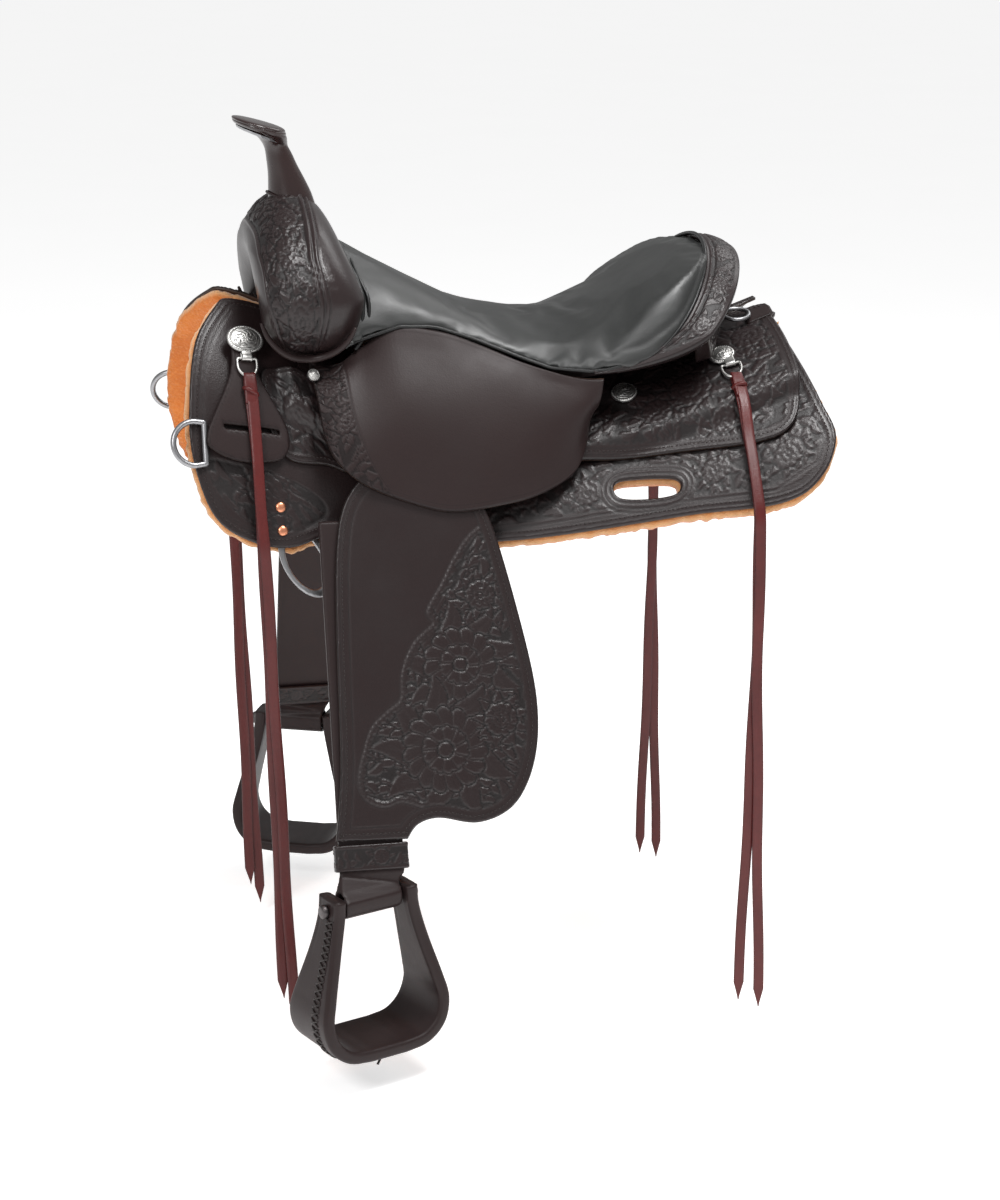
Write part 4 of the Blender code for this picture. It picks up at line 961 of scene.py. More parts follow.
def jockey_grid(columns, rows):
    """The seat jockey's outer face and its outward directions on a fine grid."""
    tops = smooth_line(JOCKEY_TOP, 0.001)
    feet = smooth_line([tuple(on_back(x, s, h, 1)) for x, s, h in JOCKEY_FOOT], 0.001)
    where = np.linspace(0, 1, columns)
    top, foot = spread(tops, where), spread(feet, where)
    v = np.linspace(0, 1, rows)[None, :, None]
    fall = foot - top
    out = np.stack([0 * where, -fall[:, 2], fall[:, 1]], -1)
    out /= np.linalg.norm(out[:, 1:], axis=1)[:, None]
    strength = 0.012 * (0.5 + 0.5 * ease(where / 0.12))
    bulge = strength[:, None, None] * np.sin(np.pi * v)
    face = top[:, None] + fall[:, None] * v + out[:, None] * bulge
    return face, np.broadcast_to(out[:, None], (columns, rows, 3)).copy()


def make_seat_jockey(name):
    columns, rows = 230, 130
    face, out = jockey_grid(columns, rows)
    i, j = np.meshgrid(np.arange(columns), np.arange(rows), indexing="ij")
    span = np.minimum(np.minimum(i, columns - 1 - i) * 0.0014, np.minimum(j, rows - 1 - j) * 0.0011)
    rounding = 0.0018
    u = np.clip(1 - span / rounding, 0, 1)
    drop = rounding * (1 - np.sqrt(np.maximum(1 - u**2, 0)))
    soft = 0.0010 * np.sin(i * 0.055) * np.sin(j * 0.06 + 1)
    drop_along = np.linalg.norm(face - face[:, :1], axis=2)
    flat = np.stack([face[..., 0], drop_along], -1).reshape(-1, 2)
    share_down = (j / (rows - 1)).ravel()
    border = -0.180 + 0.006 * share_down + 0.034 * share_down**5
    foliage = carving([((-0.196, 0.030), 0.012), ((-0.182, 0.075), 0.012)], 23, lambda p: p[:, 0] < -0.120,
                      0.0085, 0.019, depth=0.0010, margin=-1.0)
    relief, shade = foliage(flat, span.ravel())
    within = np.clip((border - flat[:, 0]) / 0.0015, 0, 1)
    line = np.exp(-((border - flat[:, 0] + 0.0012) / 0.0009)**2)
    relief = (relief * within - 0.0006 * line).reshape(columns, rows)
    shade = np.maximum(shade * within, 0.7 * line)
    upper = face - out * (drop - relief - soft * ease(span / 0.02))[..., None]
    lower = face - out * LEATHER
    verts = np.vstack([upper.reshape(-1, 3), lower.reshape(-1, 3)]) * (1, -1, 1)
    n = columns * rows
    a = (i[:-1, :-1] * rows + j[:-1, :-1]).ravel()
    quads = np.stack([a, a + 1, a + rows + 1, a + rows], -1)
    rim = [(0, k) for k in range(rows)] + [(k, rows - 1) for k in range(1, columns)]
    rim += [(columns - 1, k) for k in range(rows - 2, -1, -1)] + [(k, 0) for k in range(columns - 2, 0, -1)]
    rim = np.array([p * rows + q for p, q in rim])
    after = np.roll(rim, -1)
    walls = np.stack([rim, after, after + n, rim + n], -1)
    edge = np.clip(1 - span.ravel() / 0.0020, 0, 1)
    groove = np.exp(-((span - 0.0045) / 0.0008)**2).ravel() * 0.5
    return face_outward(mesh_object(name, verts, [np.vstack([quads, quads[:, ::-1] + n, walls])],
                        {"tool": np.concatenate([np.maximum(groove, shade), 0 * edge]),
                         "edge": np.concatenate([edge, edge]),
                         "under": np.concatenate([0 * edge, 1 - 0.5 * edge])}))


place_pair(make_seat_jockey, "seat_jockey_flap", "saddle", "smooth_leather", SMOOTH, ["{side}_seat_jockey"])


# ------------------------------------------------------------------ fender
def make_fender(name):
    loop = smooth_loop(FENDER, corners=(11, 12), per=8)
    left = [(-0.046, 0.039), (-0.064, 0.052), (-0.080, 0.073), (-0.094, 0.098), (-0.110, 0.124),
            (-0.104, 0.136), (-0.126, 0.156), (-0.139, 0.183), (-0.142, 0.210), (-0.156, 0.222),
            (-0.172, 0.236), (-0.181, 0.2565), (-0.189, 0.285), (-0.185, 0.303), (-0.168, 0.312),
            (-0.150, 0.308), (-0.128, 0.315)]
    left = resampled(smooth_line(left, 0.001), 0.001, closed=False)
    polygon = np.vstack([left, [(-0.10, 0.345), (0.02, 0.345), (0.02, 0.039)]])
    region = in_loop(polygon)
    foliage = carving([((-0.083, 0.178), 0.037), ((-0.103, 0.262), 0.043), ((-0.058, 0.110), 0.015),
                       ((-0.045, 0.235), 0.017)], 21, region, 0.0085, 0.021,
                      lambda x, t: 2.2 + 6 * t + 5 * x, depth=0.0014, margin=0.0135)
    rope = resampled(left, 0.0006, closed=False)

    def carve(points, distance):
        relief, shade = foliage(points, distance)
        d, index = nearest(points, rope)
        along = index * 0.0006
        bead = np.exp(-(d / 0.0022)**2) * (distance > 0.013)
        twist = 0.65 + 0.35 * np.sin(along * math.tau / 0.0052 + d * 900)
        gutter = np.exp(-((d - 0.0042) / 0.0009)**2) * (distance > 0.013)
        # painted shade in the gutter beside the rope and between its twists
        relief = relief * (1 - bead) + bead * 0.0011 * twist - 0.0005 * gutter
        shade = np.maximum(shade * (1 - bead), np.maximum(0.7 * gutter, bead * (1 - twist)))
        return relief, shade
    return leather_panel(name, loop, on_fender, flat_height(0.0), FENDER_T, PITCH_FINE, (), carve,
                         [(0.0040, 0.0008, 0.0005), (0.0125, 0.0009, 0.0006)])


place_pair(make_fender, "fender_carved", "{side}_fender_body", "skirt_leather", TOOLED, ["{side}_fender"])


# ------------------------------------------------------------------ fork cover and horn
FORK_HALF = [(0.0, 0.195), (0.045, 0.188), (0.095, 0.166), (0.130, 0.130), (0.140, 0.096), (0.127, 0.066),
             (0.102, 0.046), (0.078, 0.037), (0.060, 0.050), (0.048, 0.062), (0.040, 0.088), (0.022, 0.108),
             (0.0, 0.114)]
FORK_LEAN = ((0.03, -0.212), (0.10, -0.213), (0.143, -0.220), (0.195, -0.2215))
FORK_HALF_DEPTH = ((0.03, 0.050), (0.10, 0.056), (0.143, 0.048), (0.180, 0.038), (0.195, 0.026))
FORK_ROUNDING = 0.045
FORK_OUTLINE = smooth_loop(FORK_HALF + [(-y, z) for y, z in reversed(FORK_HALF[1:-1])], per=6)
FOOT_H = BAR_COVER + LEATHER + 0.0025


def applied(obj):
    """Bakes the modifiers into the mesh."""
    depsgraph = bpy.context.evaluated_depsgraph_get()
    data = bpy.data.meshes.new_from_object(obj.evaluated_get(depsgraph))
    obj.modifiers.clear()
    old, obj.data = obj.data, data
    bpy.data.meshes.remove(old)
    return obj


def remeshed(obj, voxel, smoothing=0):
    modifier = obj.modifiers.new("voxels", "REMESH")
    modifier.mode = "VOXEL"
    modifier.voxel_size = voxel
    if smoothing:
        relax = obj.modifiers.new("relax", "SMOOTH")
        relax.iterations = smoothing
        relax.factor = 0.5
    return applied(obj)


def coordinates(mesh, normals=False):
    out = np.zeros(len(mesh.vertices) * 3, np.float32)
    mesh.vertices.foreach_get("co", out)
    points = out.reshape(-1, 3).astype(float)
    if not normals:
        return points
    out = np.zeros(len(mesh.vertices) * 3, np.float32)
    mesh.vertices.foreach_get("normal", out)
    return points, out.reshape(-1, 3).astype(float)


def set_coordinates(mesh, points):
    mesh.vertices.foreach_set("co", np.asarray(points, np.float32).ravel())
    mesh.update()


def add_attributes(mesh, **values):
    for key, numbers in values.items():
        layer = mesh.attributes.get(key) or mesh.attributes.new(key, "FLOAT", "POINT")
        layer.data.foreach_set("value", np.asarray(numbers, np.float32))


def shell(name, one, other, quads, tris, count):
    """A closed mesh between two copies of a filled outline, whose first count points are the outline."""
    n = len(one)
    a = np.arange(count)
    b = (a + 1) % count
    walls = np.stack([a, b, b + n, a + n], -1)
    polygons = [np.vstack([quads, quads[:, ::-1] + n, walls]), np.vstack([tris, tris[:, ::-1] + n])]
    return face_outward(mesh_object(name, np.vstack([one, other]), polygons))


def fork_depth(points):
    """Half the fork's thickness at (y, z) points, rounded off toward its outline."""
    d, _ = nearest(points, resampled(FORK_OUTLINE, 0.001))
    d = np.clip(d / FORK_ROUNDING, 0, 1)
    return interpolated(FORK_HALF_DEPTH, points[:, 1]) * (0.25 + 0.75 * np.sqrt(1 - (1 - d)**2))


def fork_body(pitch):
    """The fork as a closed solid, before its feet are cut. Its front is slimmer half way up."""
    points, quads, tris, spans = fine_fill(FORK_OUTLINE, [], pitch)
    y, z = points[:, 0], points[:, 1]
    depth, lean = fork_depth(points), interpolated(FORK_LEAN, z)
    front = np.stack([lean - depth * (1 - 0.14 * np.exp(-((z - 0.085) / 0.045)**2)), y, z], -1)
    rear = np.stack([lean + depth, y, z], -1)
    return shell("swell", front, rear, quads, tris, spans[0][1])


SWELL_PER_DEGREE = 0.00075
SWELL_TOOLED_DEG = (16, 102)
SWELL_LINES = ((16, 0.0011, -0.0012), (12.5, 0.0014, 0.0011), (102, 0.0010, -0.0013), (107, 0.0020, 0.0021),
               (112, 0.0011, -0.0014), (117, 0.0018, 0.0017), (122.0, 0.0010, -0.0013))


def stand_on_bars(obj):
    """Lifts the low points of the fork's feet to the top of the bars."""
    points = coordinates(obj.data)
    rows = np.linspace(-0.30, -0.13, 35)
    across = np.linspace(0, 0.20, 81)
    floor_z = []
    for x in rows:
        line = on_back(np.full(81, x), np.linspace(0, 0.30, 81), FOOT_H, 1)
        floor_z.append(np.interp(across, line[:, 1], line[:, 2]))
    floor_z = np.array(floor_z)
    i = np.clip((points[:, 0] + 0.30) / 0.005, 0, 33.99)
    j = np.clip(np.abs(points[:, 1]) / 0.0025, 0, 79.99)
    i0, j0 = i.astype(int), j.astype(int)
    u, v = i - i0, j - j0
    low = ((floor_z[i0, j0] * (1 - v) + floor_z[i0, j0 + 1] * v) * (1 - u)
           + (floor_z[i0 + 1, j0] * (1 - v) + floor_z[i0 + 1, j0 + 1] * v) * u)
    feet = np.abs(points[:, 1]) > 0.03
    points[:, 2] = np.where(feet, np.maximum(points[:, 2], low), points[:, 2])
    set_coordinates(obj.data, points)


def make_swell():
    """The tooled cover: carved over a band round the outside, with raised and sunk lines beside it."""
    obj = fork_body(0.003)
    stand_on_bars(obj)
    obj = remeshed(obj, 0.0015, 10)
    obj.name = "swell_cover_carved"
    # along runs round the arch; the angle goes from the front over the outside to the rear
    points, normals = coordinates(obj.data, normals=True)
    arch = [(0.092, 0.040), (0.108, 0.070), (0.112, 0.096), (0.098, 0.128), (0.055, 0.150)]
    spine = smooth_line([(-y, z) for y, z in arch] + [(0, 0.155)] + arch[::-1], 0.002)
    _, index = nearest(points[:, 1:], spine)
    run = np.gradient(spine, axis=0)
    run /= np.linalg.norm(run, axis=1)[:, None]
    outward = np.stack([-run[:, 1], run[:, 0]], -1)[index]
    rel = points[:, 1:] - spine[index]
    out = (rel * outward).sum(1)
    forward = interpolated(FORK_LEAN, points[:, 2]) - points[:, 0]
    angle = np.degrees(np.arctan2(out, forward))
    along = index * 0.002 + (rel * run[index]).sum(1)
    arc = angle * SWELL_PER_DEGREE
    centre = along.max() / 2
    flat = np.stack([np.abs(along - centre), arc], -1)
    first, last = SWELL_TOOLED_DEG
    tooled = (angle > first) & (angle < last)

    def region(p):
        return (p[:, 1] > first * SWELL_PER_DEGREE) & (p[:, 1] < last * SWELL_PER_DEGREE)
    foliage = carving([((centre - 0.050, 0.050), 0.019), ((centre - 0.100, 0.046), 0.015),
                       ((0.066, 0.054), 0.016),
                       ((0.020, 0.052), 0.015)], 31, region, 0.0085, 0.019, depth=0.0014, margin=0.0)
    relief, shade = foliage(flat, np.full(len(flat), 1.0))
    relief, shade = np.where(tooled, relief, 0), np.where(tooled, shade, 0)
    for at, width, depth in SWELL_LINES:
        ridge = np.exp(-((arc - at * SWELL_PER_DEGREE) / width)**2) * (np.abs(angle) < 150)
        relief += depth * ridge
        if depth < 0:
            shade = np.maximum(shade, 0.8 * ridge)
    outside = ease((out - 0.002) / 0.010)
    relief *= outside
    set_coordinates(obj.data, points + normals * relief[:, None])
    add_attributes(obj.data, tool=shade * outside, edge=np.zeros(len(points)), under=np.zeros(len(points)))
    obj.data.shade_smooth()
    return settle(obj, "saddle", TOOLED, ["swell_cover"])


swell = make_swell()


def lofted(name, rings):
    """A closed skin through rings of the same number of points."""
    rings = np.array(rings)
    count, around = rings.shape[:2]
    return face_outward(mesh_object(name, rings.reshape(-1, 3),
                                    [ring_quads(count, around), ring_caps(count, around)]))


CAP_PITCH = math.radians(15)
CAP_CENTRE = np.array((-0.2480, 0.0, 0.2615))
CAP_LENGTH, CAP_WIDTH = 0.0272, 0.0305
HORN_SIDES = 72
# the neck's rings, upward: x, z, half length, half width, tilt
NECK = [(-0.2155, 0.1760, 0.0250, 0.0270, 0.00), (-0.2170, 0.1860, 0.0232, 0.0235, 0.00),
        (-0.2185, 0.1960, 0.0215, 0.0210, 0.05), (-0.2215, 0.2100, 0.0185, 0.0185, 0.12),
        (-0.2255, 0.2240, 0.0158, 0.0165, 0.18), (-0.2290, 0.2360, 0.0142, 0.0152, 0.22),
        (-0.2332, 0.2440, 0.0146, 0.0165, 0.24), (-0.2368, 0.2495, 0.0178, 0.0215, 0.25),
        (-0.2415, 0.2540, 0.0224, 0.0268, 0.26), (-0.2452, 0.2566, 0.0258, 0.0297, 0.26)]
# the cap's rings: height along its axis, size
CAP = ((-0.0032, 1.0), (-0.0016, 1.022), (-0.0004, 1.020), (0.0000, 1.0), (0.0004, 1.018), (0.0016, 1.02),
       (0.0026, 1.005), (0.0034, 0.96), (0.0041, 0.86), (0.0046, 0.66), (0.0049, 0.42), (0.0050, 0.2),
       (0.0050, 0.03))


def tilted(centre, rx, ry, pitch):
    """A ring of the horn, tipped forward by pitch."""
    a = full_turn(HORN_SIDES)
    u, v = rx * np.cos(a), ry * np.sin(a)
    return np.stack([centre[0] + u * math.cos(pitch), v, centre[2] - u * math.sin(pitch)], -1)


def make_horn():
    """Neck and cap wrapped in one skin; the cap is a thick wedge with a thin layered front edge."""
    rings = [tilted((x, 0, z), rx, ry, pitch) for x, z, rx, ry, pitch in smooth_line(NECK, 0.0010)]
    axis = np.array([-math.sin(CAP_PITCH), 0, math.cos(CAP_PITCH)])
    rings += [tilted(CAP_CENTRE + axis * up, CAP_LENGTH * scale, CAP_WIDTH * scale, CAP_PITCH)
              for up, scale in CAP]
    rings = np.array(rings)
    # soft folds of the wrap, running up the neck
    around = full_turn(HORN_SIDES)
    fold = 0.0004 * np.sin(3 * around + 0.8)[None] * ease(np.arange(len(rings)) / 20)[:, None]
    centre = rings.mean(1, keepdims=True)
    rings = centre + (rings - centre) * (1 + fold[..., None] * 40)
    settle(lofted("horn_wrap_and_cap", rings), "saddle", GLOSSY, ["horn_wrap", "horn_cap"])
    forward, across = np.cos(around), np.sin(around)
    collar_z = 0.1915 - 0.003 * forward - 0.003 * across**2
    collar = np.stack([-0.2192 + 0.0222 * forward, 0.0232 * across, collar_z], -1)
    settle(tube_object("horn_collar", collar, 0.0013, closed=True), "saddle", TOOLED)


make_horn()

# ------------------------------------------------------------------ seat
# as in the CAD, and carried 35 mm farther forward, into the fork
RIDGE = ((-0.19, 0.158), (-0.155, 0.136), (-0.12, 0.115), (-0.08, 0.092), (-0.045, 0.075), (0.0, 0.066),
         (0.03, 0.064), (0.07, 0.068), (0.11, 0.082), (0.15, 0.104), (0.19, 0.126), (0.212, 0.138))
CREST = ((-0.19, 0.112), (-0.155, 0.099), (-0.12, 0.091), (-0.085, 0.080), (-0.045, 0.064), (0.0, 0.0495),
         (0.05, 0.046), (0.10, 0.065), (0.13, 0.088), (0.17, 0.116), (0.20, 0.134), (0.212, 0.140))
EDGE_Z = ((-0.19, 0.046), (-0.155, 0.058), (-0.12, 0.068), (-0.085, 0.067), (-0.045, 0.054), (0.0, 0.036),
          (0.03, 0.026), (0.07, 0.024), (0.10, 0.028))
EDGE_Y = ((-0.19, 0.090), (-0.155, 0.088), (-0.12, 0.086), (-0.08, 0.0865), (-0.045, 0.090), (0.0, 0.103),
          (0.03, 0.115), (0.07, 0.131), (0.10, 0.138))
CREST_AT = 0.82
PAD_T = 0.013
STUFFING_LIMIT = 0.004


def rim_point(rim, degrees):
    """A point of a horseshoe rim; 0 is at the back, 90 at the off end."""
    cx, reach, half, low, rise = rim
    c = max(math.cos(math.radians(degrees)), 0.0)
    return Vector((cx + reach * c**0.6, half * math.sin(math.radians(degrees)), low + rise * c**1.1))


RIM = np.array([rim_point(SEAM_RIM, a) for a in np.linspace(0, 90, 181)])


def seat_half_width(x):
    x = np.asarray(x, float)
    back_y = np.interp(x, RIM[::-1, 0], RIM[::-1, 1])
    back_z = np.interp(x, RIM[::-1, 0], RIM[::-1, 2])
    blend = ease((x - 0.085) / 0.03)
    return (interpolated(EDGE_Y, x) * (1 - blend) + back_y * 0.995 * blend,
            interpolated(EDGE_Z, x) * (1 - blend) + (back_z - 0.0015) * blend)


RIDGE_LINE, CREST_LINE = smooth_line(RIDGE, 0.002), smooth_line(CREST, 0.002)


def seat_top(x, y):
    """Height of the seat: a ridge along its middle, a crest near each side, then down to the edge."""
    half, edge = seat_half_width(x)
    q = np.clip(np.abs(y) / np.maximum(half, 0.004), 0, 1)
    ridge, crest = interpolated(RIDGE_LINE, x), interpolated(CREST_LINE, x)
    inner = ridge + (crest - ridge) * (q / CREST_AT)**2.2
    t = np.clip((q - CREST_AT) / (1 - CREST_AT), 0, 1)
    return np.where(q < CREST_AT, inner, crest + (edge - crest) * t**1.6)


def seat_under(x, y):
    half, edge = seat_half_width(x)
    q = np.clip(np.abs(y) / np.maximum(half, 0.004), 0, 1)
    ridge = interpolated(RIDGE_LINE, x)
    straight = ridge + (edge - ridge) * q**2.2
    return np.minimum(straight, seat_top(x, y)) - 0.005 - PAD_T * (1 - q**6)


def seat_outline():
    """The seat from above: along the jockeys, then round the cantle's seam."""
    flank = (-0.180, -0.155, -0.12, -0.08, -0.04, 0.0, 0.035, 0.07)
    half = [(x, float(interpolated(EDGE_Y, x))) for x in flank]
    half += [tuple(rim_point(SEAM_RIM, a).xy * 0.995 + Vector((0.0005, 0))) for a in (88, 74, 60, 45, 30, 15)]
    return smooth_loop([(-0.186, 0.0)] + half + [(0.2115, 0.0)] + [(x, -y) for x, y in reversed(half)], per=5)


def stuff(obj):
    """Blows the cushion up with a short cloth simulation, by no more than STUFFING_LIMIT anywhere."""
    start = coordinates(obj.data)
    cloth = obj.modifiers.new("stuffing", "CLOTH")
    cloth.settings.quality = 5
    cloth.settings.mass = 0.4
    cloth.settings.use_pressure = True
    cloth.settings.uniform_pressure_force = 3.0
    cloth.settings.tension_stiffness = 60
    cloth.settings.compression_stiffness = 60
    cloth.settings.bending_stiffness = 6
    cloth.settings.effector_weights.gravity = 0
    cloth.collision_settings.use_self_collision = False
    cloth.point_cache.frame_end = 20
    for step in range(1, 17):
        bpy.context.scene.frame_set(step)
    depsgraph = bpy.context.evaluated_depsgraph_get()
    moved = coordinates(obj.evaluated_get(depsgraph).data)
    obj.modifiers.clear()
    bpy.context.scene.frame_set(1)
    shift = moved - start
    size = np.linalg.norm(shift, axis=1)
    shift *= np.where(size > 0, np.minimum(size, STUFFING_LIMIT) / np.maximum(size, 1e-9), 0)[:, None]
    set_coordinates(obj.data, start + shift)


def make_seat():
    """The padded seat: stuffed by simulation, then sewn and gathered."""
    outline = seat_outline()
    points, quads, tris, spans = fine_fill(outline, [], 0.004)
    x, y = points[:, 0], points[:, 1]
    top = np.stack([x, y, seat_top(x, y)], -1)
    under = np.stack([x, y, seat_under(x, y)], -1)
    obj = remeshed(shell("seat_cushion", top, under, quads, tris, spans[0][1]), 0.0042, 4)
    stuff(obj)
    finer = obj.modifiers.new("finer", "SUBSURF")
    finer.levels = finer.render_levels = 1
    obj = applied(obj)
    points, normals = coordinates(obj.data, normals=True)
    x, y = points[:, 0], points[:, 1]
    half, _ = seat_half_width(x)
    q = np.abs(y) / np.maximum(half, 0.01)
    rim = resampled(outline, 0.001)
    d, _ = nearest(points[:, :2], rim)
    up = ease((normals[:, 2] - 0.05) / 0.3)
    # seam along the cantle, its groove darkened with painted shade
    seam = np.exp(-((d - 0.0040) / 0.0014)**2) * ease((x - 0.075) / 0.03) * up
    relief, shade = -0.0009 * seam, 0.8 * seam
    # gathers behind the fork
    front = ease((-0.105 - x) / 0.045)
    folds = np.sin(q * 17 + 25 * x) * np.exp(-((x + 0.160) / 0.028)**2)
    relief += 0.0010 * folds * front * up
    # soft wrinkles where the leather bends down at the sides
    relief += 0.00035 * np.sin(x * 160 + y * 40) * np.sin(x * 71 + 2) * ease((q - 0.6) / 0.3) * up
    set_coordinates(obj.data, points + normals * relief[:, None])
    add_attributes(obj.data, tool=shade, edge=np.zeros(len(points)), under=np.zeros(len(points)))
    obj.data.shade_smooth()
    settle(obj, "saddle", BLACK, ["seat_pad"])


make_seat()


def fork_rear(y, z):
    """The x of the fork's rear face."""
    return interpolated(FORK_LEAN, z) + fork_depth(np.stack([y, z], -1))


def make_seat_piping():
    """Black welts: between seat and jockeys, and two around the seat's front where it meets the fork."""
    xs = np.linspace(-0.168, 0.090, 120)
    ys = interpolated(EDGE_Y, xs)
    flank = np.stack([xs, ys * 1.004, seat_top(xs, ys * 0.999) - 0.0012], -1)
    rim = np.array([rim_point(SEAM_RIM, a) for a in np.linspace(86, -86, 87)])
    rim = rim * (0.992, 0.992, 1) + (0, 0, 0.0004)
    path = resampled(np.vstack([flank, rim, flank[::-1] * (1, -1, 1)]), 0.010, closed=False)
    welt = tube_object("seat_welt", smooth_line(path, 0.003), 0.0020, sides=10)
    settle(welt, "saddle", PIPING)
    for number, (away, lift) in enumerate(((0.0022, 0.0015), (0.0085, 0.0008))):
        y = np.linspace(-0.0895, 0.0895, 90)
        z = seat_top(np.full(90, -0.166), y) + lift - 0.004 * (np.abs(y) / 0.09)**8
        path = np.stack([fork_rear(np.abs(y), z) + away, y, z], -1)
        path[:, 2] -= 0.62 * away
        path = smooth_line(resampled(path, 0.010, closed=False), 0.0025)
        welt = tube_object(f"seat_front_welt_{number}", path, 0.0026 - 0.0006 * number, sides=12)
        settle(welt, "saddle", PIPING)


make_seat_piping()


CANTLE_BACK_DEG, CANTLE_RUN_DEG = 64, 26
ROLL_COLUMNS = 46


def cantle_section(degrees):
    """The roll's seam and outer line at an angle round the rim, the way inward and the roll's underside."""
    seam, roll = rim_point(SEAM_RIM, degrees), rim_point(ROLL_RIM, degrees)
    inward = (Vector((0.10, 0, 0)) - Vector((roll.x, roll.y, 0))).normalized()
    under = roll + inward * 0.010 + Vector((0, 0, -0.012))
    return seam, roll, inward, under


def make_cantle_roll():
    angles = np.linspace(-90, 90, 421)
    where = np.linspace(0, 1, ROLL_COLUMNS)
    rings, flats = [], []
    arc, last = 0.0, None
    for degrees in angles:
        seam, roll, inward, under = cantle_section(degrees)
        # the ends taper and run forward
        forward = np.clip((abs(degrees) - CANTLE_BACK_DEG) / CANTLE_RUN_DEG, 0, 1)**1.6
        shift = Vector((-0.030 * forward, -0.0095 * forward * math.copysign(1, degrees), -0.004 * forward))
        narrow = 1 - 0.82 * forward
        roll, under = (seam + shift + (p - seam) * narrow for p in (roll, under))
        seam, inward = seam + shift, inward * narrow
        middle = (seam + roll) / 2
        up = Vector((0, 0, narrow))
        section = [seam, seam.lerp(roll, 0.25) + up * 0.0026, middle + up * 0.0036,
                   seam.lerp(roll, 0.75) + up * 0.0030, roll.lerp(middle, 0.06) + up * 0.0008, roll,
                   roll + inward * 0.0012 - up * 0.0055, under, under + inward * 0.004,
                   roll + inward * 0.006 - up * 0.006, middle - up * 0.003, seam - up * 0.006]
        section = np.array([tuple(p) for p in section])
        top_line = spread(smooth_line(section[:6], 0.0004), where)
        rest = spread(smooth_line(section[5:], 0.0008), np.linspace(0, 1, 20)[1:])
        rings.append(np.vstack([top_line, rest]))
        if last is not None:
            arc += (Vector(top_line[30]) - last).length
        last = Vector(top_line[30])
        width = float(np.linalg.norm(np.diff(top_line, axis=0), axis=1).sum())
        flats.append(np.stack([np.full(ROLL_COLUMNS, arc), where * width], -1))
    rings = np.array(rings)
    flat = np.array(flats).reshape(-1, 2)
    width = np.array([f[-1, 1] for f in flats])
    to_edge = np.minimum(flat[:, 1], np.repeat(width, ROLL_COLUMNS) - flat[:, 1])
    total = flat[-1, 0]
    flowers = [((total / 2 + k * 0.058, 0.018), 0.0125) for k in range(-3, 4)]
    foliage = carving(flowers, 17, everywhere, 0.0095, 0.017,
                      lambda x, s: 0.4 + 0.8 * math.sin(60 * x), depth=0.0006, margin=0.0055)
    relief, shade = foliage(flat, to_edge)
    for at, w, depth in ((0.0028, 0.0009, 0.0008), (0.0085, 0.0010, 0.0009)):
        groove = np.exp(-((flat[:, 1] - at) / w)**2)
        relief -= depth * groove
        shade = np.maximum(shade, 0.7 * groove)
    # displace along the surface's own normal
    top = rings[:, :ROLL_COLUMNS]
    du, dv = np.gradient(top, axis=0), np.gradient(top, axis=1)
    normal = np.cross(du, dv)
    normal /= np.linalg.norm(normal, axis=2)[..., None] + 1e-12
    normal *= np.sign(normal[..., 2:3].mean())
    rings[:, :ROLL_COLUMNS] = top + normal * relief.reshape(top.shape[:2])[..., None]
    obj = lofted("cantle_roll_carved", rings)
    around = rings.shape[1]
    shade_all = np.zeros((len(angles), around))
    shade_all[:, :ROLL_COLUMNS] = shade.reshape(len(angles), ROLL_COLUMNS)
    edge = np.zeros((len(angles), around))
    edge[:, 44:52] = 0.7
    add_attributes(obj.data, tool=shade_all.ravel(), edge=edge.ravel(), under=np.zeros(len(angles) * around))
    settle(obj, "saddle", TOOLED, ["cantle_roll"])


make_cantle_roll()


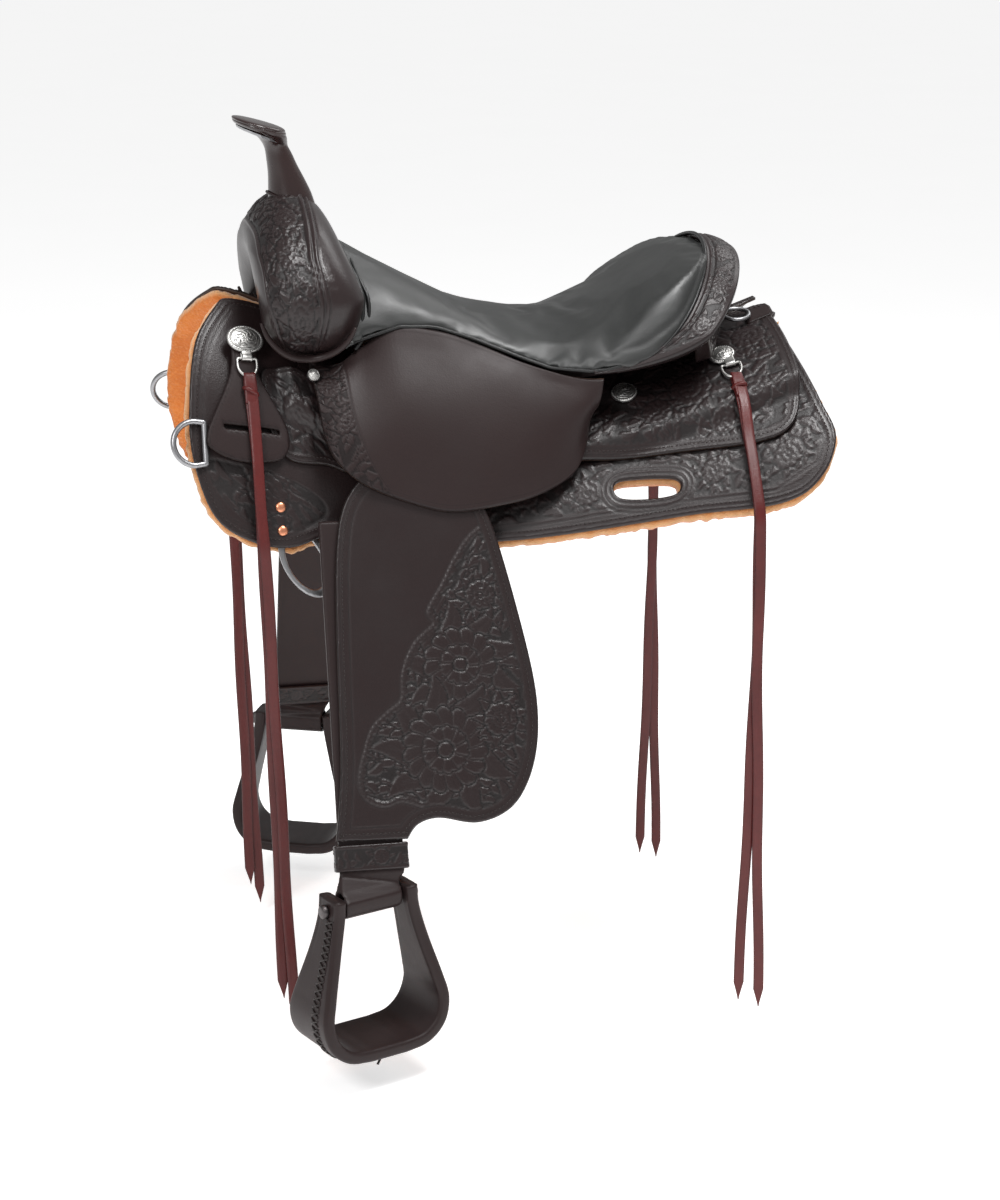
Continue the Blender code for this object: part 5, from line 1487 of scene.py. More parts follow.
def make_cantle_back():
    """The tooled cover behind the cantle; its foot rises to the roll at both ends."""
    angles = np.linspace(-CANTLE_BACK_DEG, CANTLE_BACK_DEG, 261)
    rings, flats = [], []
    arc, last = 0.0, None
    fine = 52
    for degrees in angles:
        seam, roll, inward, _ = cantle_section(degrees)
        foot_out, foot_in = roll + inward * 0.026, seam + inward * 0.008
        foot_out.z = back_height(foot_out.x, foot_out.y) + 0.030
        foot_in.z = back_height(foot_in.x, foot_in.y) + 0.030
        top_in = seam - inward * 0.001 + Vector((0, 0, -0.009))
        top_out = roll + inward * 0.0165 + Vector((0, 0, -0.013))
        tall = float(ease((CANTLE_BACK_DEG - abs(degrees)) / CANTLE_RUN_DEG))
        for foot, top in ((foot_out, top_out), (foot_in, top_in)):
            foot.z = top.z - 0.003 - (top.z - 0.003 - foot.z) * tall
            if tall < 1:
                foot.xy = top.xy + (foot.xy - top.xy) * (0.3 + 0.7 * tall)
        share = np.linspace(0, 1, fine)[:, None]
        outer = np.array(top_out) * (1 - share) + np.array(foot_out) * share
        outer -= np.array(inward) * (0.003 * np.sin(np.pi * share))
        back = np.linspace(0, 1, 5)[1:, None]
        low = np.array(foot_out) * (1 - back) + np.array(foot_in) * back
        inner = np.array(foot_in) * (1 - back) + np.array(top_in) * back
        rings.append(np.vstack([outer, low, inner]))
        if last is not None:
            arc += (top_out - last).length
        last = top_out
        height = (foot_out - top_out).length
        flats.append(np.stack([np.full(fine, arc), share[:, 0] * height], -1))
    rings = np.array(rings)
    flat = np.array(flats).reshape(-1, 2)
    height = np.repeat([f[-1, 1] for f in flats], fine)
    to_edge = np.minimum(flat[:, 1], height - flat[:, 1])
    total = flat[-1, 0]
    flowers = [((total / 2, 0.045), 0.024), ((total / 2 - 0.075, 0.036), 0.018),
               ((total / 2 + 0.075, 0.036), 0.018)]
    foliage = carving(flowers, 19, everywhere, 0.011, 0.021, depth=0.0009, margin=0.008)
    relief, shade = foliage(flat, to_edge)
    groove = np.exp(-((to_edge - 0.0055) / 0.0009)**2)
    relief -= 0.0005 * groove
    shade = np.maximum(shade, 0.7 * groove)
    top = rings[:, :fine]
    outward = np.stack([top[..., 0] - 0.10, top[..., 1], 0 * top[..., 0]], -1)
    outward /= np.linalg.norm(outward, axis=2)[..., None]
    rings[:, :fine] = top + outward * relief.reshape(top.shape[:2])[..., None]
    obj = lofted("cantle_back_carved", rings)
    around = rings.shape[1]
    shade_all = np.zeros((len(angles), around))
    shade_all[:, :fine] = shade.reshape(len(angles), fine)
    add_attributes(obj.data, tool=shade_all.ravel(), edge=np.zeros(shade_all.size),
                   under=np.zeros(shade_all.size))
    settle(obj, "saddle", TOOLED, ["cantle"])


make_cantle_back()


def swell_lip(name):
    """The rolled leather lip that hugs the swell's lower side."""
    points = coordinates(swell.data)
    points = points[points[:, 1] < -0.06]
    path = []
    for a in np.radians(np.linspace(196, 338, 40)):
        x, z = -0.2150 + 0.0465 * math.cos(a), 0.0960 + 0.0500 * math.sin(a)
        near_here = points[(np.abs(points[:, 0] - x) < 0.0032) & (np.abs(points[:, 2] - z) < 0.0032)]
        if len(near_here):
            y = near_here[:, 1].min()
            path.append((x + 0.0022 * math.cos(a), y - 0.0012, z + 0.0030 * math.sin(a) - 0.0015))
    path = smooth_line(resampled(np.array(path), 0.016, closed=False), 0.0025)
    share = np.linspace(0, 1, len(path))
    return tube_object(name, path, 0.0014 + 0.0022 * np.sin(np.pi * share)**0.6, sides=14)


place_pair(swell_lip, "swell_lip", "saddle", "smooth_leather", SMOOTH, [])

# ------------------------------------------------------------------ bright fittings
FRONT_CONCHO = (-0.276, 0.092)
MID_CONCHO = (0.112, 0.087)
REAR_CONCHO = (0.218, 0.077)
JOCKEY_SCREW = (-0.2115, 0.105)
TOP_OF_KEEPER = KEEPER_H + 0.003
OVER_JOCKEY = BAR_COVER + LEATHER + 0.001


def concho_maker(x, s, h, radius, stretched, rope):
    """An engraved domed disc with a rope rim."""
    def make(name):
        rings, around = 40, 144
        r = np.linspace(0, 1, rings)[:, None]
        a = full_turn(around)[None]
        dome = 0.0056 - 0.0034 * r**2.2
        rim = np.clip((r - 0.83) / 0.17, 0, 1)
        rope_relief = 0.00075 * np.sin(np.pi * rim) * (0.62 + 0.38 * np.cos(rope * a + 5 * r))
        gutter = np.exp(-((r - 0.80) / 0.022)**2)
        vine = np.sin(5 * a + 8 * np.sin(3.2 * r * 2)) * np.sin(10 * r + 2.0 * np.cos(4 * a))
        vine += 0.6 * np.sin(9 * a - 14 * r)
        field = np.clip((0.78 - r) / 0.08, 0, 1)
        engraved = np.clip(-vine, 0, 1)**0.6 * field
        edge_drop = 0.0016 * np.clip((r - 0.95) / 0.05, 0, 1)**2
        height = dome + rope_relief - 0.0005 * gutter - 0.00035 * engraved - edge_drop
        grooves = 0.5 * (rim > 0) * (np.cos(rope * a + 5 * r) < -0.3)
        tool = np.clip(0.9 * gutter + 0.75 * engraved + grooves, 0, 1)
        pts = np.stack([r * radius * stretched * np.cos(a), r * radius * np.sin(a), height], -1)
        pts = pts[1:].reshape(-1, 3)
        tool = np.broadcast_to(tool, (rings, around))[1:].ravel()
        foot_x, foot_y = radius * stretched * 0.98 * np.cos(a[0]), radius * 0.98 * np.sin(a[0])
        base = np.stack([foot_x, foot_y, 0 * a[0]], -1)
        verts = np.vstack([pts, base, [(0, 0, 0.0056), (0, 0, 0)]])
        n = len(pts)
        quads = ring_quads(rings - 1, around)[:, [0, 3, 2, 1]]
        k = np.arange(around)
        m = (k + 1) % around
        last = (rings - 2) * around
        walls = np.stack([last + k, n + k, n + m, last + m], -1)
        fans = np.vstack([np.stack([np.full(around, n + around), k, m], -1),
                          np.stack([np.full(around, n + around + 1), n + m, n + k], -1)])
        matrix = np.array(back_frame(x, s, h))
        verts = verts @ matrix[:3, :3].T + matrix[:3, 3]
        tools = np.concatenate([tool, np.full(around, 0.5), [0.2, 0.0]])
        return face_outward(mesh_object(name, verts, [np.vstack([quads, walls]), fans],
                                        {"tool": tools, "edge": 0 * tools}))
    return make


place_pair(concho_maker(*FRONT_CONCHO, TOP_OF_KEEPER + 0.001, 0.0152, 1.28, 44), "front_concho_engraved",
           "saddle",
           "silver", SILVER, ["{side}_front_concho"])
place_pair(concho_maker(*MID_CONCHO, OVER_JOCKEY, 0.0135, 1.0, 36), "mid_concho_engraved", "saddle", "silver",
           SILVER,
           ["{side}_mid_concho"])
place_pair(concho_maker(*REAR_CONCHO, OVER_JOCKEY, 0.0135, 1.0, 36), "rear_concho_engraved", "saddle",
           "silver", SILVER,
           ["{side}_rear_concho"])
place_pair(concho_maker(*JOCKEY_SCREW, 0.0385, 0.0065, 1.0, 18), "jockey_screw_head", "saddle", "silver",
           SILVER,
           ["{side}_jockey_screw"])


def in_frame(points, matrix):
    matrix = np.array(matrix)
    return np.asarray(points, float) @ matrix[:3, :3].T + matrix[:3, 3]


def dee_path(width, height, flat=0.35):
    half = width / 2
    a = np.linspace(0, math.pi, 25)
    bow = np.stack([half * np.cos(a), -height * flat - height * (1 - flat) * np.sin(a), 0 * a], -1)
    bar = [(-half + 0.001, 0, 0), (half - 0.001, 0, 0), (half, -0.0015, 0)]
    loop = np.vstack([bar, bow, [(-half, -0.0015, 0)]])
    return resampled(loop, 0.0009)


def dee_maker(x, s, h):
    def make(name):
        path = in_frame(dee_path(0.020, 0.019), back_frame(x, s, h))
        return tube_object(name, path, 0.0014, sides=12, closed=True,
                           up=tuple(back_frame(x, s, h).col[2].xyz))
    return make


def clip_maker(x, s, h):
    """The plate that joins a concho and its dee, folded round the dee's bar."""
    def make(name):
        matrix = back_frame(x, s, h)
        profile = [(0.0115, -0.0022), (0.004, -0.0022), (0.001, -0.0024), (-0.0018, -0.0012),
                   (-0.0022, 0.0006), (-0.0010, 0.0021), (0.0012, 0.0022), (0.005, 0.0012), (0.0115, 0.0006)]
        line = smooth_line(profile, 0.0006)
        loops = []
        for u in np.linspace(-1, 1, 9):
            w = 0.0058 - 0.0006 * u**8
            loops.append([(w * u, p[0], p[1] + 0.0002 * (1 - u * u)) for p in line])
        outer = np.array(loops)
        rings = []
        for row in outer:
            forward = np.gradient(row, axis=0)
            normal = np.stack([0 * forward[:, 0], -forward[:, 2], forward[:, 1]], -1)
            normal /= np.linalg.norm(normal, axis=1)[:, None]
            rings.append(np.vstack([row, (row + normal * 0.0007)[::-1]]))
        rings = np.array([in_frame(r, matrix) for r in rings])
        return lofted(name, rings)
    return make


FRONT_DEE = (-0.2755, 0.1115, TOP_OF_KEEPER + 0.0025)
REAR_DEE = (0.222, 0.0945, OVER_JOCKEY + 0.002)
place_pair(dee_maker(*FRONT_DEE), "front_string_dee_ring", "{side}_front_tie", "silver", SILVER,
           ["{side}_front_string_dee"])
place_pair(dee_maker(*REAR_DEE), "rear_string_dee_ring", "{side}_rear_tie", "silver", SILVER,
           ["{side}_rear_string_dee"])
place_pair(clip_maker(*FRONT_DEE), "front_concho_clip", "saddle", "silver", SILVER, [])
place_pair(clip_maker(*REAR_DEE), "rear_concho_clip", "saddle", "silver", SILVER, [])


def make_breast_dee(name):
    matrix = back_frame(-0.3225, 0.212, 0.0095)
    a = np.linspace(0, math.pi, 41)
    loop = np.vstack([[(0, 0.0205, 0), (0, -0.0205, 0)],
                      np.stack([-0.010 - 0.022 * np.sin(a), -0.022 * np.cos(a), 0 * a], -1)])
    path = in_frame(resampled(loop, 0.0012), matrix)
    return tube_object(name, path, 0.0030, sides=16, closed=True, up=tuple(matrix.col[2].xyz))


def make_rigging_dee(name):
    outer = ellipse(-0.227, 0.287, 0.0270, 0.0340, 120)
    hole = ellipse(-0.227, 0.288, 0.0200, 0.0260, 100)
    return leather_panel(name, outer, on_back, flat_height(-0.0038), 0.003, 0.0013, [hole], None, (),
                         rounding=0.0013)


def make_rear_ring(name):
    matrix = back_frame(0.2585, 0.0300, BAR_TOP + 0.0115) @ Matrix.Rotation(math.radians(15), 4, "Y")
    a = full_turn(72)
    path = in_frame(np.stack([-0.0135 + 0.0135 * np.cos(a), 0.0125 * np.sin(a), 0 * a], -1), matrix)
    return tube_object(name, path, 0.0022, sides=14, closed=True, up=tuple(matrix.col[2].xyz))


def make_ring_tab(name):
    return leather_panel(name, rounded_box(0.2540, 0.020, 0.2830, 0.041, 0.005, 8), on_back,
                         flat_height(BAR_TOP + 0.0045),
                         0.003, 0.0012, (), None, [(0.0025, 0.0006, 0.0004)], rounding=0.0012)


place_pair(make_breast_dee, "breast_dee_ring", "{side}_breast_dee_body", "dark_steel", STEEL,
           ["{side}_breast_dee"])
place_pair(make_rigging_dee, "rigging_dee_plate", "saddle", "dark_steel", STEEL, ["{side}_rigging_dee"])
place_pair(make_rear_ring, "rear_ring_wire", "{side}_rear_ring_body", "dark_steel", STEEL,
           ["{side}_rear_ring"])
place_pair(make_ring_tab, "rear_ring_leather_tab", "saddle", "smooth_leather", SMOOTH,
           ["{side}_rear_ring_tab"])


RIVETS = ((-0.250, 0.246), (-0.249, 0.269))
# a rivet's rings, upward: radius, height
RIVET = ((0.0052, -0.0008), (0.0053, 0.0004), (0.0047, 0.0013), (0.0034, 0.0019), (0.0018, 0.0022),
         (0.0002, 0.0023))


def make_rivets(name):
    around = 32
    a = full_turn(around)
    parts = []
    for x, s in RIVETS:
        matrix = back_frame(x, s, SKIRT_T)
        rings = [in_frame(np.stack([r * np.cos(a), r * np.sin(a), np.full(around, z)], -1), matrix)
                 for r, z in RIVET]
        parts.append((np.vstack(rings), [ring_quads(len(rings), around), ring_caps(len(rings), around)], {}))
    return face_outward(joined(name, parts))


place_pair(make_rivets, "rigging_rivets", "saddle", "silver", COPPER, [])


# ------------------------------------------------------------------ tie strings
STRING_W, STRING_T = 0.0112, 0.0024


def string_line(x0, drift, heights, lean, end, out, wave):
    """Centre line of one tail: down the saddle, over its edge and straight down."""
    s_hang, s_edge = heights[0][0], heights[-1][0]
    v = np.linspace(0, end, 240)
    s = s_hang + np.clip(v, 0, s_edge - s_hang)
    u = lean(v) + 0.0007 * np.sin(v * 31 + wave)
    points = on_back(x0 + drift * v + u, s, interpolated(heights, s) + out)
    points[:, 2] -= np.maximum(v - (s_edge - s_hang), 0)
    window = np.ones(9) / 9
    padded = np.vstack([np.repeat(points[:1], 4, 0), points, np.repeat(points[-1:], 4, 0)])
    smooth = np.stack([np.convolve(padded[:, i], window, "valid") for i in range(3)], -1)
    smooth[0], smooth[-1] = points[0], points[-1]
    return resampled(smooth, 0.004, closed=False)


def ribbon(name, path, width, thickness, point=0.020, twist=0.0):
    """A flat leather string along a path, with rounded edges and a pointed end."""
    count = len(path)
    tangent = np.gradient(path, axis=0)
    tangent /= np.linalg.norm(tangent, axis=1)[:, None]
    side = np.array([1.0, 0, 0]) - tangent * tangent[:, :1]
    side /= np.linalg.norm(side, axis=1)[:, None]
    normal = np.cross(tangent, side)
    along = np.concatenate([[0], np.cumsum(np.linalg.norm(np.diff(path, axis=0), axis=1))])
    turn = twist * np.sin(along * 9 + 0.6) * ease(along / 0.1)
    side, normal = (side * np.cos(turn)[:, None] + normal * np.sin(turn)[:, None],
                    normal * np.cos(turn)[:, None] - side * np.sin(turn)[:, None])
    taper = np.clip((along[-1] - along) / point, 0.06, 1)
    half = width / 2 * taper
    profile = [(1.0, 0.0), (0.97, 0.32), (0.86, 0.5), (0.4, 0.47), (-0.4, 0.47), (-0.86, 0.5), (-0.97, 0.32),
               (-1.0, 0.0), (-0.97, -0.32), (-0.86, -0.5), (-0.4, -0.5), (0.4, -0.5), (0.86, -0.5),
               (0.97, -0.32)]
    rings = np.stack([path + side * (half * a)[:, None] + normal * (thickness * b) for a, b in profile], 1)
    obj = lofted(name, rings)
    edge = np.array([1, 0.8, 0.2, 0, 0, 0.2, 0.8, 1, 0.8, 0.2, 0, 0, 0.2, 0.8])
    add_attributes(obj.data, tool=np.zeros(count * 14), edge=np.tile(edge, count))
    return obj


def make_strings(end_name, x0, drift, heights, lengths, split, apart):
    """One dee's string on each side: two tails, the fold over the dee and the slit they pass through.

    heights are (distance down the back, height off it) of the string's lie, lengths the two tails' lengths,
    and split is how far down the tails part, to end apart from each other.
    """
    for tail, sign, out, end in (("front_tail", -1, 0.0003, lengths[0]),
                                 ("rear_tail", 1, 0.0030, lengths[1])):
        def lean(v, sign=sign, end=end):
            return sign * (0.0004 + apart * np.clip((v - split) / (end - split), 0, 1)**1.1)
        path = string_line(x0, drift, heights, lean, end, out + 0.0012, sign)
        near = ribbon(f"near_{end_name}_string_{tail}", path, STRING_W, STRING_T, twist=0.05 * sign)
        for side_name, side in SIDES.items():
            obj = near if side < 0 else mirrored(near, f"off_{end_name}_string_{tail}")
            settle(obj, f"{side_name}_{end_name}_tie", LATIGO,
                   [f"{side_name}_{end_name}_string"])

    def knot(name):
        """The string's fold over the dee."""
        s0, lift = heights[0][0], 0.0012
        line = smooth_line([(s0 + 0.022, 0.0015 + lift), (s0 + 0.010, 0.0022 + lift),
                            (s0 + 0.001, 0.0028 + lift),
                            (s0 - 0.0055, 0.0022 + lift), (s0 - 0.0065, -0.0002), (s0 - 0.0020, -0.0012),
                            (s0 + 0.006, -0.0010 + 0.3 * lift)], 0.0015)
        path = on_back(np.full(len(line), x0), line[:, 0], interpolated(heights,
                                                                        line[:, 0]) + 0.0012 + line[:, 1])
        return ribbon(name, path, STRING_W * 1.06, 0.0020, point=0.0001)

    def slit(name):
        """The tails pulled through the fold's slit: a short band across the string."""
        s0 = heights[0][0]
        half = STRING_W / 2
        profile = smooth_line([(-half - 0.0006, 0.0012), (-half * 0.8, 0.0052), (-half * 0.2, 0.0064),
                               (half * 0.4, 0.0062), (half * 0.9, 0.0050), (half + 0.0006, 0.0012)], 0.0009)
        s = s0 + 0.0105 + 0.0016 * np.linspace(-1, 1, len(profile))
        path = on_back(x0 + drift * 0.010 + profile[:, 0], s, interpolated(heights, s) + profile[:, 1])
        verts, polys = tube(path, 0.0023, sides=10)
        return face_outward(joined(name, [(verts, polys, {})]))
    place_pair(slit, f"{end_name}_string_slit", "{side}_" + end_name + "_tie", "string_leather", LATIGO, [])
    place_pair(knot, f"{end_name}_string_fold", "{side}_" + end_name + "_tie", "string_leather", LATIGO, [])


make_strings("front", -0.2745, 0.030, ((0.1335, 0.0180), (0.225, 0.0180), (0.265, 0.0115), (0.292, 0.0120)),
             (0.642, 0.662), 0.12, 0.0045)
make_strings("rear", 0.2235, 0.0, ((0.1165, 0.0236), (0.142, 0.0236), (0.180, 0.0130), (0.262, 0.0125)),
             (0.668, 0.686), 0.29, 0.0105)


# ------------------------------------------------------------------ leathers and stirrups
HOBBLE_TOP, HOBBLE_END = 0.350, 0.376
STRAP_X, STRAP_T = -0.1825, 0.0075


def make_hobble(name):
    """The carved band round the stirrup leather: rings round the strap, out along it and back inside."""
    inner = -LAYER_GAP - STRAP_T
    outer = -LAYER_GAP
    wall = 0.0045
    loop = rounded_box(-STRAP_HALF - wall, inner - wall, STRAP_HALF + wall, outer + wall, 0.004, 8)
    loop = resampled(loop, 0.0013)
    bore = rounded_box(-STRAP_HALF - 0.001, inner - 0.001, STRAP_HALF + 0.001, outer + 0.001, 0.0015, 3)
    count = len(loop)
    rows = 26
    t = np.linspace(HOBBLE_TOP, HOBBLE_END, rows)
    along = np.arange(count) * 0.0013
    flat = np.stack(np.meshgrid(along, t - HOBBLE_TOP, indexing="ij"), -1).reshape(-1, 2)
    to_edge = np.minimum(flat[:, 1], (HOBBLE_END - HOBBLE_TOP) - flat[:, 1])
    foliage = carving([((0.030, 0.013), 0.008), ((0.118, 0.013), 0.008)], 9, everywhere, 0.008, 0.013,
                      depth=0.0007, margin=0.0035)
    relief, shade = foliage(flat, to_edge)
    relief -= 0.0012 * (1 - np.sqrt(1 - np.clip(1 - to_edge / 0.0014, 0, 1)**2))
    relief, shade = relief.reshape(count, rows), shade.reshape(count, rows)
    tangent = np.roll(loop, -1, 0) - np.roll(loop, 1, 0)
    normal = np.stack([tangent[:, 1], -tangent[:, 0]], -1)
    normal /= np.linalg.norm(normal, axis=1)[:, None]
    rings, shades = [], []
    for k in range(rows):
        ring = loop + normal * relief[:, k:k + 1]
        rings.append(on_fender(STRAP_X + ring[:, 0], np.full(count, t[k]), ring[:, 1]))
        shades.append(shade[:, k])
    distances = np.linalg.norm(loop[:, None] - resampled(bore, 0.0008)[None], axis=2)
    inner_ring = resampled(bore, 0.0008)[distances.argmin(1)]
    for k in (rows - 1, 0):
        rings.append(on_fender(STRAP_X + inner_ring[:, 0], np.full(count, t[k]), inner_ring[:, 1]))
        shades.append(np.zeros(count))
    quads = ring_quads(len(rings), count, closed=True)
    shades = np.concatenate(shades)
    attributes = {"tool": shades, "edge": 0 * shades, "under": 0 * shades}
    return face_outward(mesh_object(name, np.vstack(rings), [quads], attributes))


place_pair(make_hobble, "hobble_strap_carved", "{side}_fender_body", "skirt_leather", TOOLED,
           ["{side}_hobble_strap"])


def make_strap(name):
    """The stirrup leather: the CAD's strap as a fine mesh with softened edges."""
    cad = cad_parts["near_stirrup_leather"]
    points = coordinates(cad.data)
    matrix = np.array(cad.matrix_world)
    points = points @ matrix[:3, :3].T + matrix[:3, 3]
    triangles = np.array([tuple(p.vertices) for p in cad.data.polygons])
    strap = remeshed(mesh_object(name, points, [triangles]), 0.0017, 7)
    strap.name = name
    count = len(strap.data.vertices)
    add_attributes(strap.data, tool=np.zeros(count), edge=np.zeros(count), under=np.zeros(count))
    strap.data.shade_smooth()
    return strap


place_pair(make_strap, "stirrup_leather_strap", "{side}_fender_body", "smooth_leather", SMOOTH,
           ["{side}_stirrup_leather"])

STIRRUP_LEG = [(0.0410, 0.0120), (0.0430, -0.0100), (0.0510, -0.0450), (0.0620, -0.0850), (0.0665, -0.1080),
               (0.0600, -0.1300), (0.0430, -0.1440), (0.0200, -0.1475)]
ACROSS = np.array((math.cos(STIRRUP_TURN), math.sin(STIRRUP_TURN), 0))
OUTWARD = np.array((math.sin(STIRRUP_TURN), -math.cos(STIRRUP_TURN), 0))
BOLT_NEAR = np.array((BOLT.x, -BOLT.y, BOLT.z))


def stirrup_path(step=0.0022):
    legs = smooth_line(STIRRUP_LEG, 0.002)
    whole = np.vstack([legs, (legs[::-1] * (-1, 1))])
    return resampled(smooth_line(resampled(whole, 0.008, closed=False), 0.001), step, closed=False)


def stirrup_depth(z):
    return STIRRUP_DEPTH_TOP + (STIRRUP_DEPTH_TREAD - STIRRUP_DEPTH_TOP) * ease(-z / 0.14)


def make_stirrup(name):
    path = stirrup_path()
    run = np.gradient(path, axis=0)
    run /= np.linalg.norm(run, axis=1)[:, None]
    normal = np.stack([-run[:, 1], run[:, 0]], -1)
    half = STIRRUP_WALL / 2
    rings, tools = [], []
    for (e, z), (nx, nz) in zip(path, normal):
        depth = stirrup_depth(z)
        corner = rounded_box(-half, -depth / 2, half, depth / 2, 0.0042, 5)
        sides = []
        for a, b in zip(corner, np.roll(corner, -1, 0)):
            long_side = np.linalg.norm(b - a) > 0.006
            parts = 12 if long_side else 1
            sides += [a + (b - a) * k / parts for k in range(parts)]
        section = np.array(sides)
        # the cover is creased a little along the wall and pulled in beside the stitched edges; the crease is
        # darkened with painted shade
        inset = 0.0005 * np.exp(-((np.abs(section[:, 1]) - depth / 2 + 0.0065) / 0.0009)**2)
        section[:, 0] -= np.sign(section[:, 0]) * inset
        rings.append(BOLT_NEAR + ACROSS * (e + nx * section[:, :1]) + OUTWARD * section[:, 1:]
                     + np.array((0, 0, 1)) * (z + nz * section[:, :1]))
        tools.append(inset / 0.0005 * 0.6)
    obj = lofted(name, rings)
    tools = np.concatenate(tools)
    add_attributes(obj.data, tool=tools, edge=0 * tools, under=0 * tools)
    return obj


place_pair(make_stirrup, "stirrup_covered", "{side}_stirrup_body", "smooth_leather", SMOOTH,
           ["{side}_stirrup"])


def make_lacing(name):
    """Thin lacing that crosses the cover's two edges along the outer branch and under the tread."""
    path = stirrup_path(0.0075)
    run = np.gradient(path, axis=0)
    run /= np.linalg.norm(run, axis=1)[:, None]
    half = STIRRUP_WALL / 2
    parts = []
    laced = [k for k in range(3, len(path) - 3) if path[k, 0] < 0.030]
    for k in laced:
        (e, z), (rx, rz) = path[k], run[k]
        nx, nz = -rz, rx
        face = 1 if (nx * e + nz * (z + 0.08)) > 0 else -1
        depth = stirrup_depth(z)
        for slant in (-1, 1):
            points = []
            for t in np.linspace(-1, 1, 7):
                n = face * (half + 0.0007 - 0.0009 * t**4)
                d, shift = depth * 0.22 + 0.0058 * t, 0.0030 * t * slant
                points.append(BOLT_NEAR + ACROSS * (e + nx * n + rx * shift) + OUTWARD * d
                              + np.array((0, 0, 1)) * (z + nz * n + rz * shift))
            verts, polys = tube(smooth_line(points, 0.002), 0.0011, sides=6)
            parts.append((verts, polys, {}))
    # the lace's loose end under the tread
    low = BOLT_NEAR + OUTWARD * 0.022 + np.array((0, 0, -0.1475 - half))
    end = [low + np.array((0, 0, 0.003)), low + ACROSS * 0.001 + np.array((0, 0, -0.0015)),
           low - ACROSS * 0.004 + OUTWARD * 0.003 + np.array((0, 0, -0.0055)),
           low - ACROSS * 0.008 + OUTWARD * 0.004 + np.array((0, 0, -0.0100))]
    verts, polys = tube(smooth_line(end, 0.0015), 0.0013, sides=6)
    parts.append((verts, polys, {}))
    return face_outward(joined(name, parts))


place_pair(make_lacing, "stirrup_lacing", "{side}_stirrup_body", "smooth_leather", THREAD, [])


# half of the bolt, from its middle outward: place along it, radius
HALF_BOLT = ((0.03, 0.0054), (0.0490, 0.0054), (0.0492, 0.0066), (0.0500, 0.0072), (0.0535, 0.0068),
             (0.0545, 0.0055), (0.0545, 0.001))


def make_bolt(name):
    profile = [(-a, r) for a, r in reversed(HALF_BOLT)] + [(0.0, 0.0054)] + list(HALF_BOLT)
    angle = full_turn(32)
    up = np.array((0, 0, 1))
    rings = []
    for a, r in profile:
        centre = BOLT_NEAR + ACROSS * a
        rings.append(centre + OUTWARD * (r * np.cos(angle))[:, None] + up * (r * np.sin(angle))[:, None])
    return lofted(name, rings)


place_pair(make_bolt, "stirrup_bolt_steel", "{side}_stirrup_body", "dark_steel", BOLT_STEEL,
           ["{side}_stirrup_bolt"])

# ------------------------------------------------------------------ stitching
THREAD_SUNK = 0.0002


def sew(suffix, outline, inset, place, surface, body):
    """A pair of stitched rows inside a panel's outline, on its outer surface."""
    def make(name):
        return stitches(name, grown(outline, -inset), place, surface)
    place_pair(make, suffix, body, "skirt_leather", THREAD, [])


def on_jockey(x, s):
    return over_bar(x, s) + LEATHER - THREAD_SUNK


fender_loop = smooth_loop(FENDER, corners=(11, 12), per=8)
sew("skirt_stitching", skirt_loop, 0.0072, on_back, flat_height(SKIRT_T - THREAD_SUNK), "saddle")
sew("rear_jockey_stitching", smooth_loop(REAR_JOCKEY, per=8), 0.0060, on_back, on_jockey, "saddle")
sew("front_jockey_stitching", smooth_loop(FRONT_JOCKEY, per=8), 0.0060, on_back, on_jockey, "saddle")
sew("fender_stitching", fender_loop, 0.0065, on_fender, flat_height(FENDER_T - THREAD_SUNK),
    "{side}_fender_body")

# hidden and plain CAD nodes keep their shapes and take real materials
for node_name, made in (("horn_core", STEEL), ("fork", WOOD_HIDDEN), ("ground_seat", SMOOTH),
                        ("near_tree_bar", SMOOTH),
                        ("off_tree_bar", SMOOTH)):
    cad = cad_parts[node_name]
    for slot_of in cad.material_slots:
        slot_of.material = made


# ------------------------------------------------------------------ stage
def area_light(name, place, target, size, power):
    data = bpy.data.lights.new(name, "AREA")
    data.shape = "RECTANGLE"
    data.size, data.size_y = size, size
    data.energy = power
    light = bpy.data.objects.new(name, data)
    bpy.context.scene.collection.objects.link(light)
    light.location = place
    light.rotation_euler = (Vector(target) - Vector(place)).to_track_quat("-Z", "Y").to_euler()


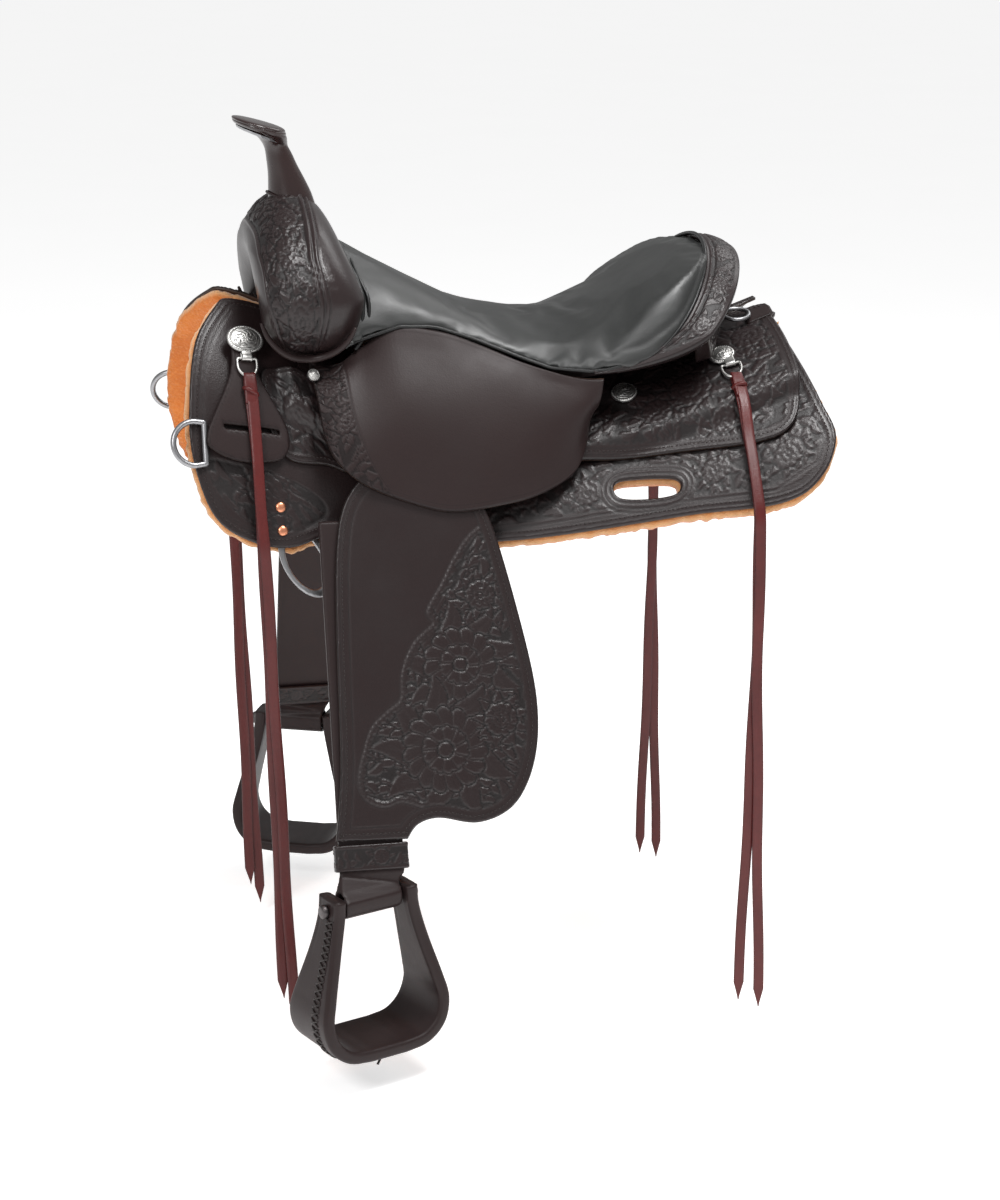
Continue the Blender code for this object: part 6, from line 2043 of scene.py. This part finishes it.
FLOOR_Z, FLOOR_HALF = -0.658, 60
floor_corners = [(x * FLOOR_HALF, y * FLOOR_HALF, FLOOR_Z) for x, y in ((-1, -1), (1, -1), (1, 1), (-1, 1))]
floor = bpy.data.meshes.new("floor")
floor.from_pydata(floor_corners, [], [(0, 1, 2, 3)])
floor = bpy.data.objects.new("floor", floor)
bpy.context.scene.collection.objects.link(floor)
paper, node, links, shader = new_material("pale floor")
grain = node("ShaderNodeTexNoise", Vector=node("ShaderNodeTexCoord").outputs["Object"],
             Scale=3.0).outputs["Fac"]
links.new(mix_colours(node, grain, (0.90, 0.90, 0.90), (0.93, 0.93, 0.93)), shader.inputs["Base Color"])
shader.inputs["Roughness"].default_value = 1.0
shader.inputs["Specular IOR Level"].default_value = 0.0
shader.inputs["Emission Color"].default_value = (1, 1, 1, 1)
shader.inputs["Emission Strength"].default_value = 0.56
floor.data.materials.append(paper)

world = bpy.data.worlds.new("studio")
bpy.context.scene.world = world
world.use_nodes = True
world.node_tree.nodes["Background"].inputs["Color"].default_value = (1, 1, 1, 1)
world.node_tree.nodes["Background"].inputs["Strength"].default_value = 0.38
area_light("overhead", (0.45, -0.75, 2.1), (0.05, 0, 0), 0.9, 56)
area_light("key", (-1.7, -1.9, 1.6), (0, 0, -0.1), 0.8, 36)
area_light("rear fill", (1.6, 1.2, 1.8), (0, 0, 0), 1.2, 14)
bpy.context.scene.view_settings.view_transform = "Standard"
bpy.context.scene.view_settings.look = "None"

AZIMUTH, ELEVATION = math.radians(-11), math.radians(16)
DISTANCE, TARGET = 3.0, Vector((0, 0, -0.25))
LENS_MM = 83.7
level = math.cos(ELEVATION)
back = Vector((math.sin(AZIMUTH) * level, -math.cos(AZIMUTH) * level, math.sin(ELEVATION)))
camera_data = bpy.data.cameras.new("camera")
camera_data.sensor_width = 36.0
camera_data.lens = LENS_MM
camera = bpy.data.objects.new("camera", camera_data)
bpy.context.scene.collection.objects.link(camera)
camera.location = TARGET + back * DISTANCE
camera.rotation_euler = (-back).to_track_quat("-Z", "Y").to_euler()
bpy.context.scene.camera = camera
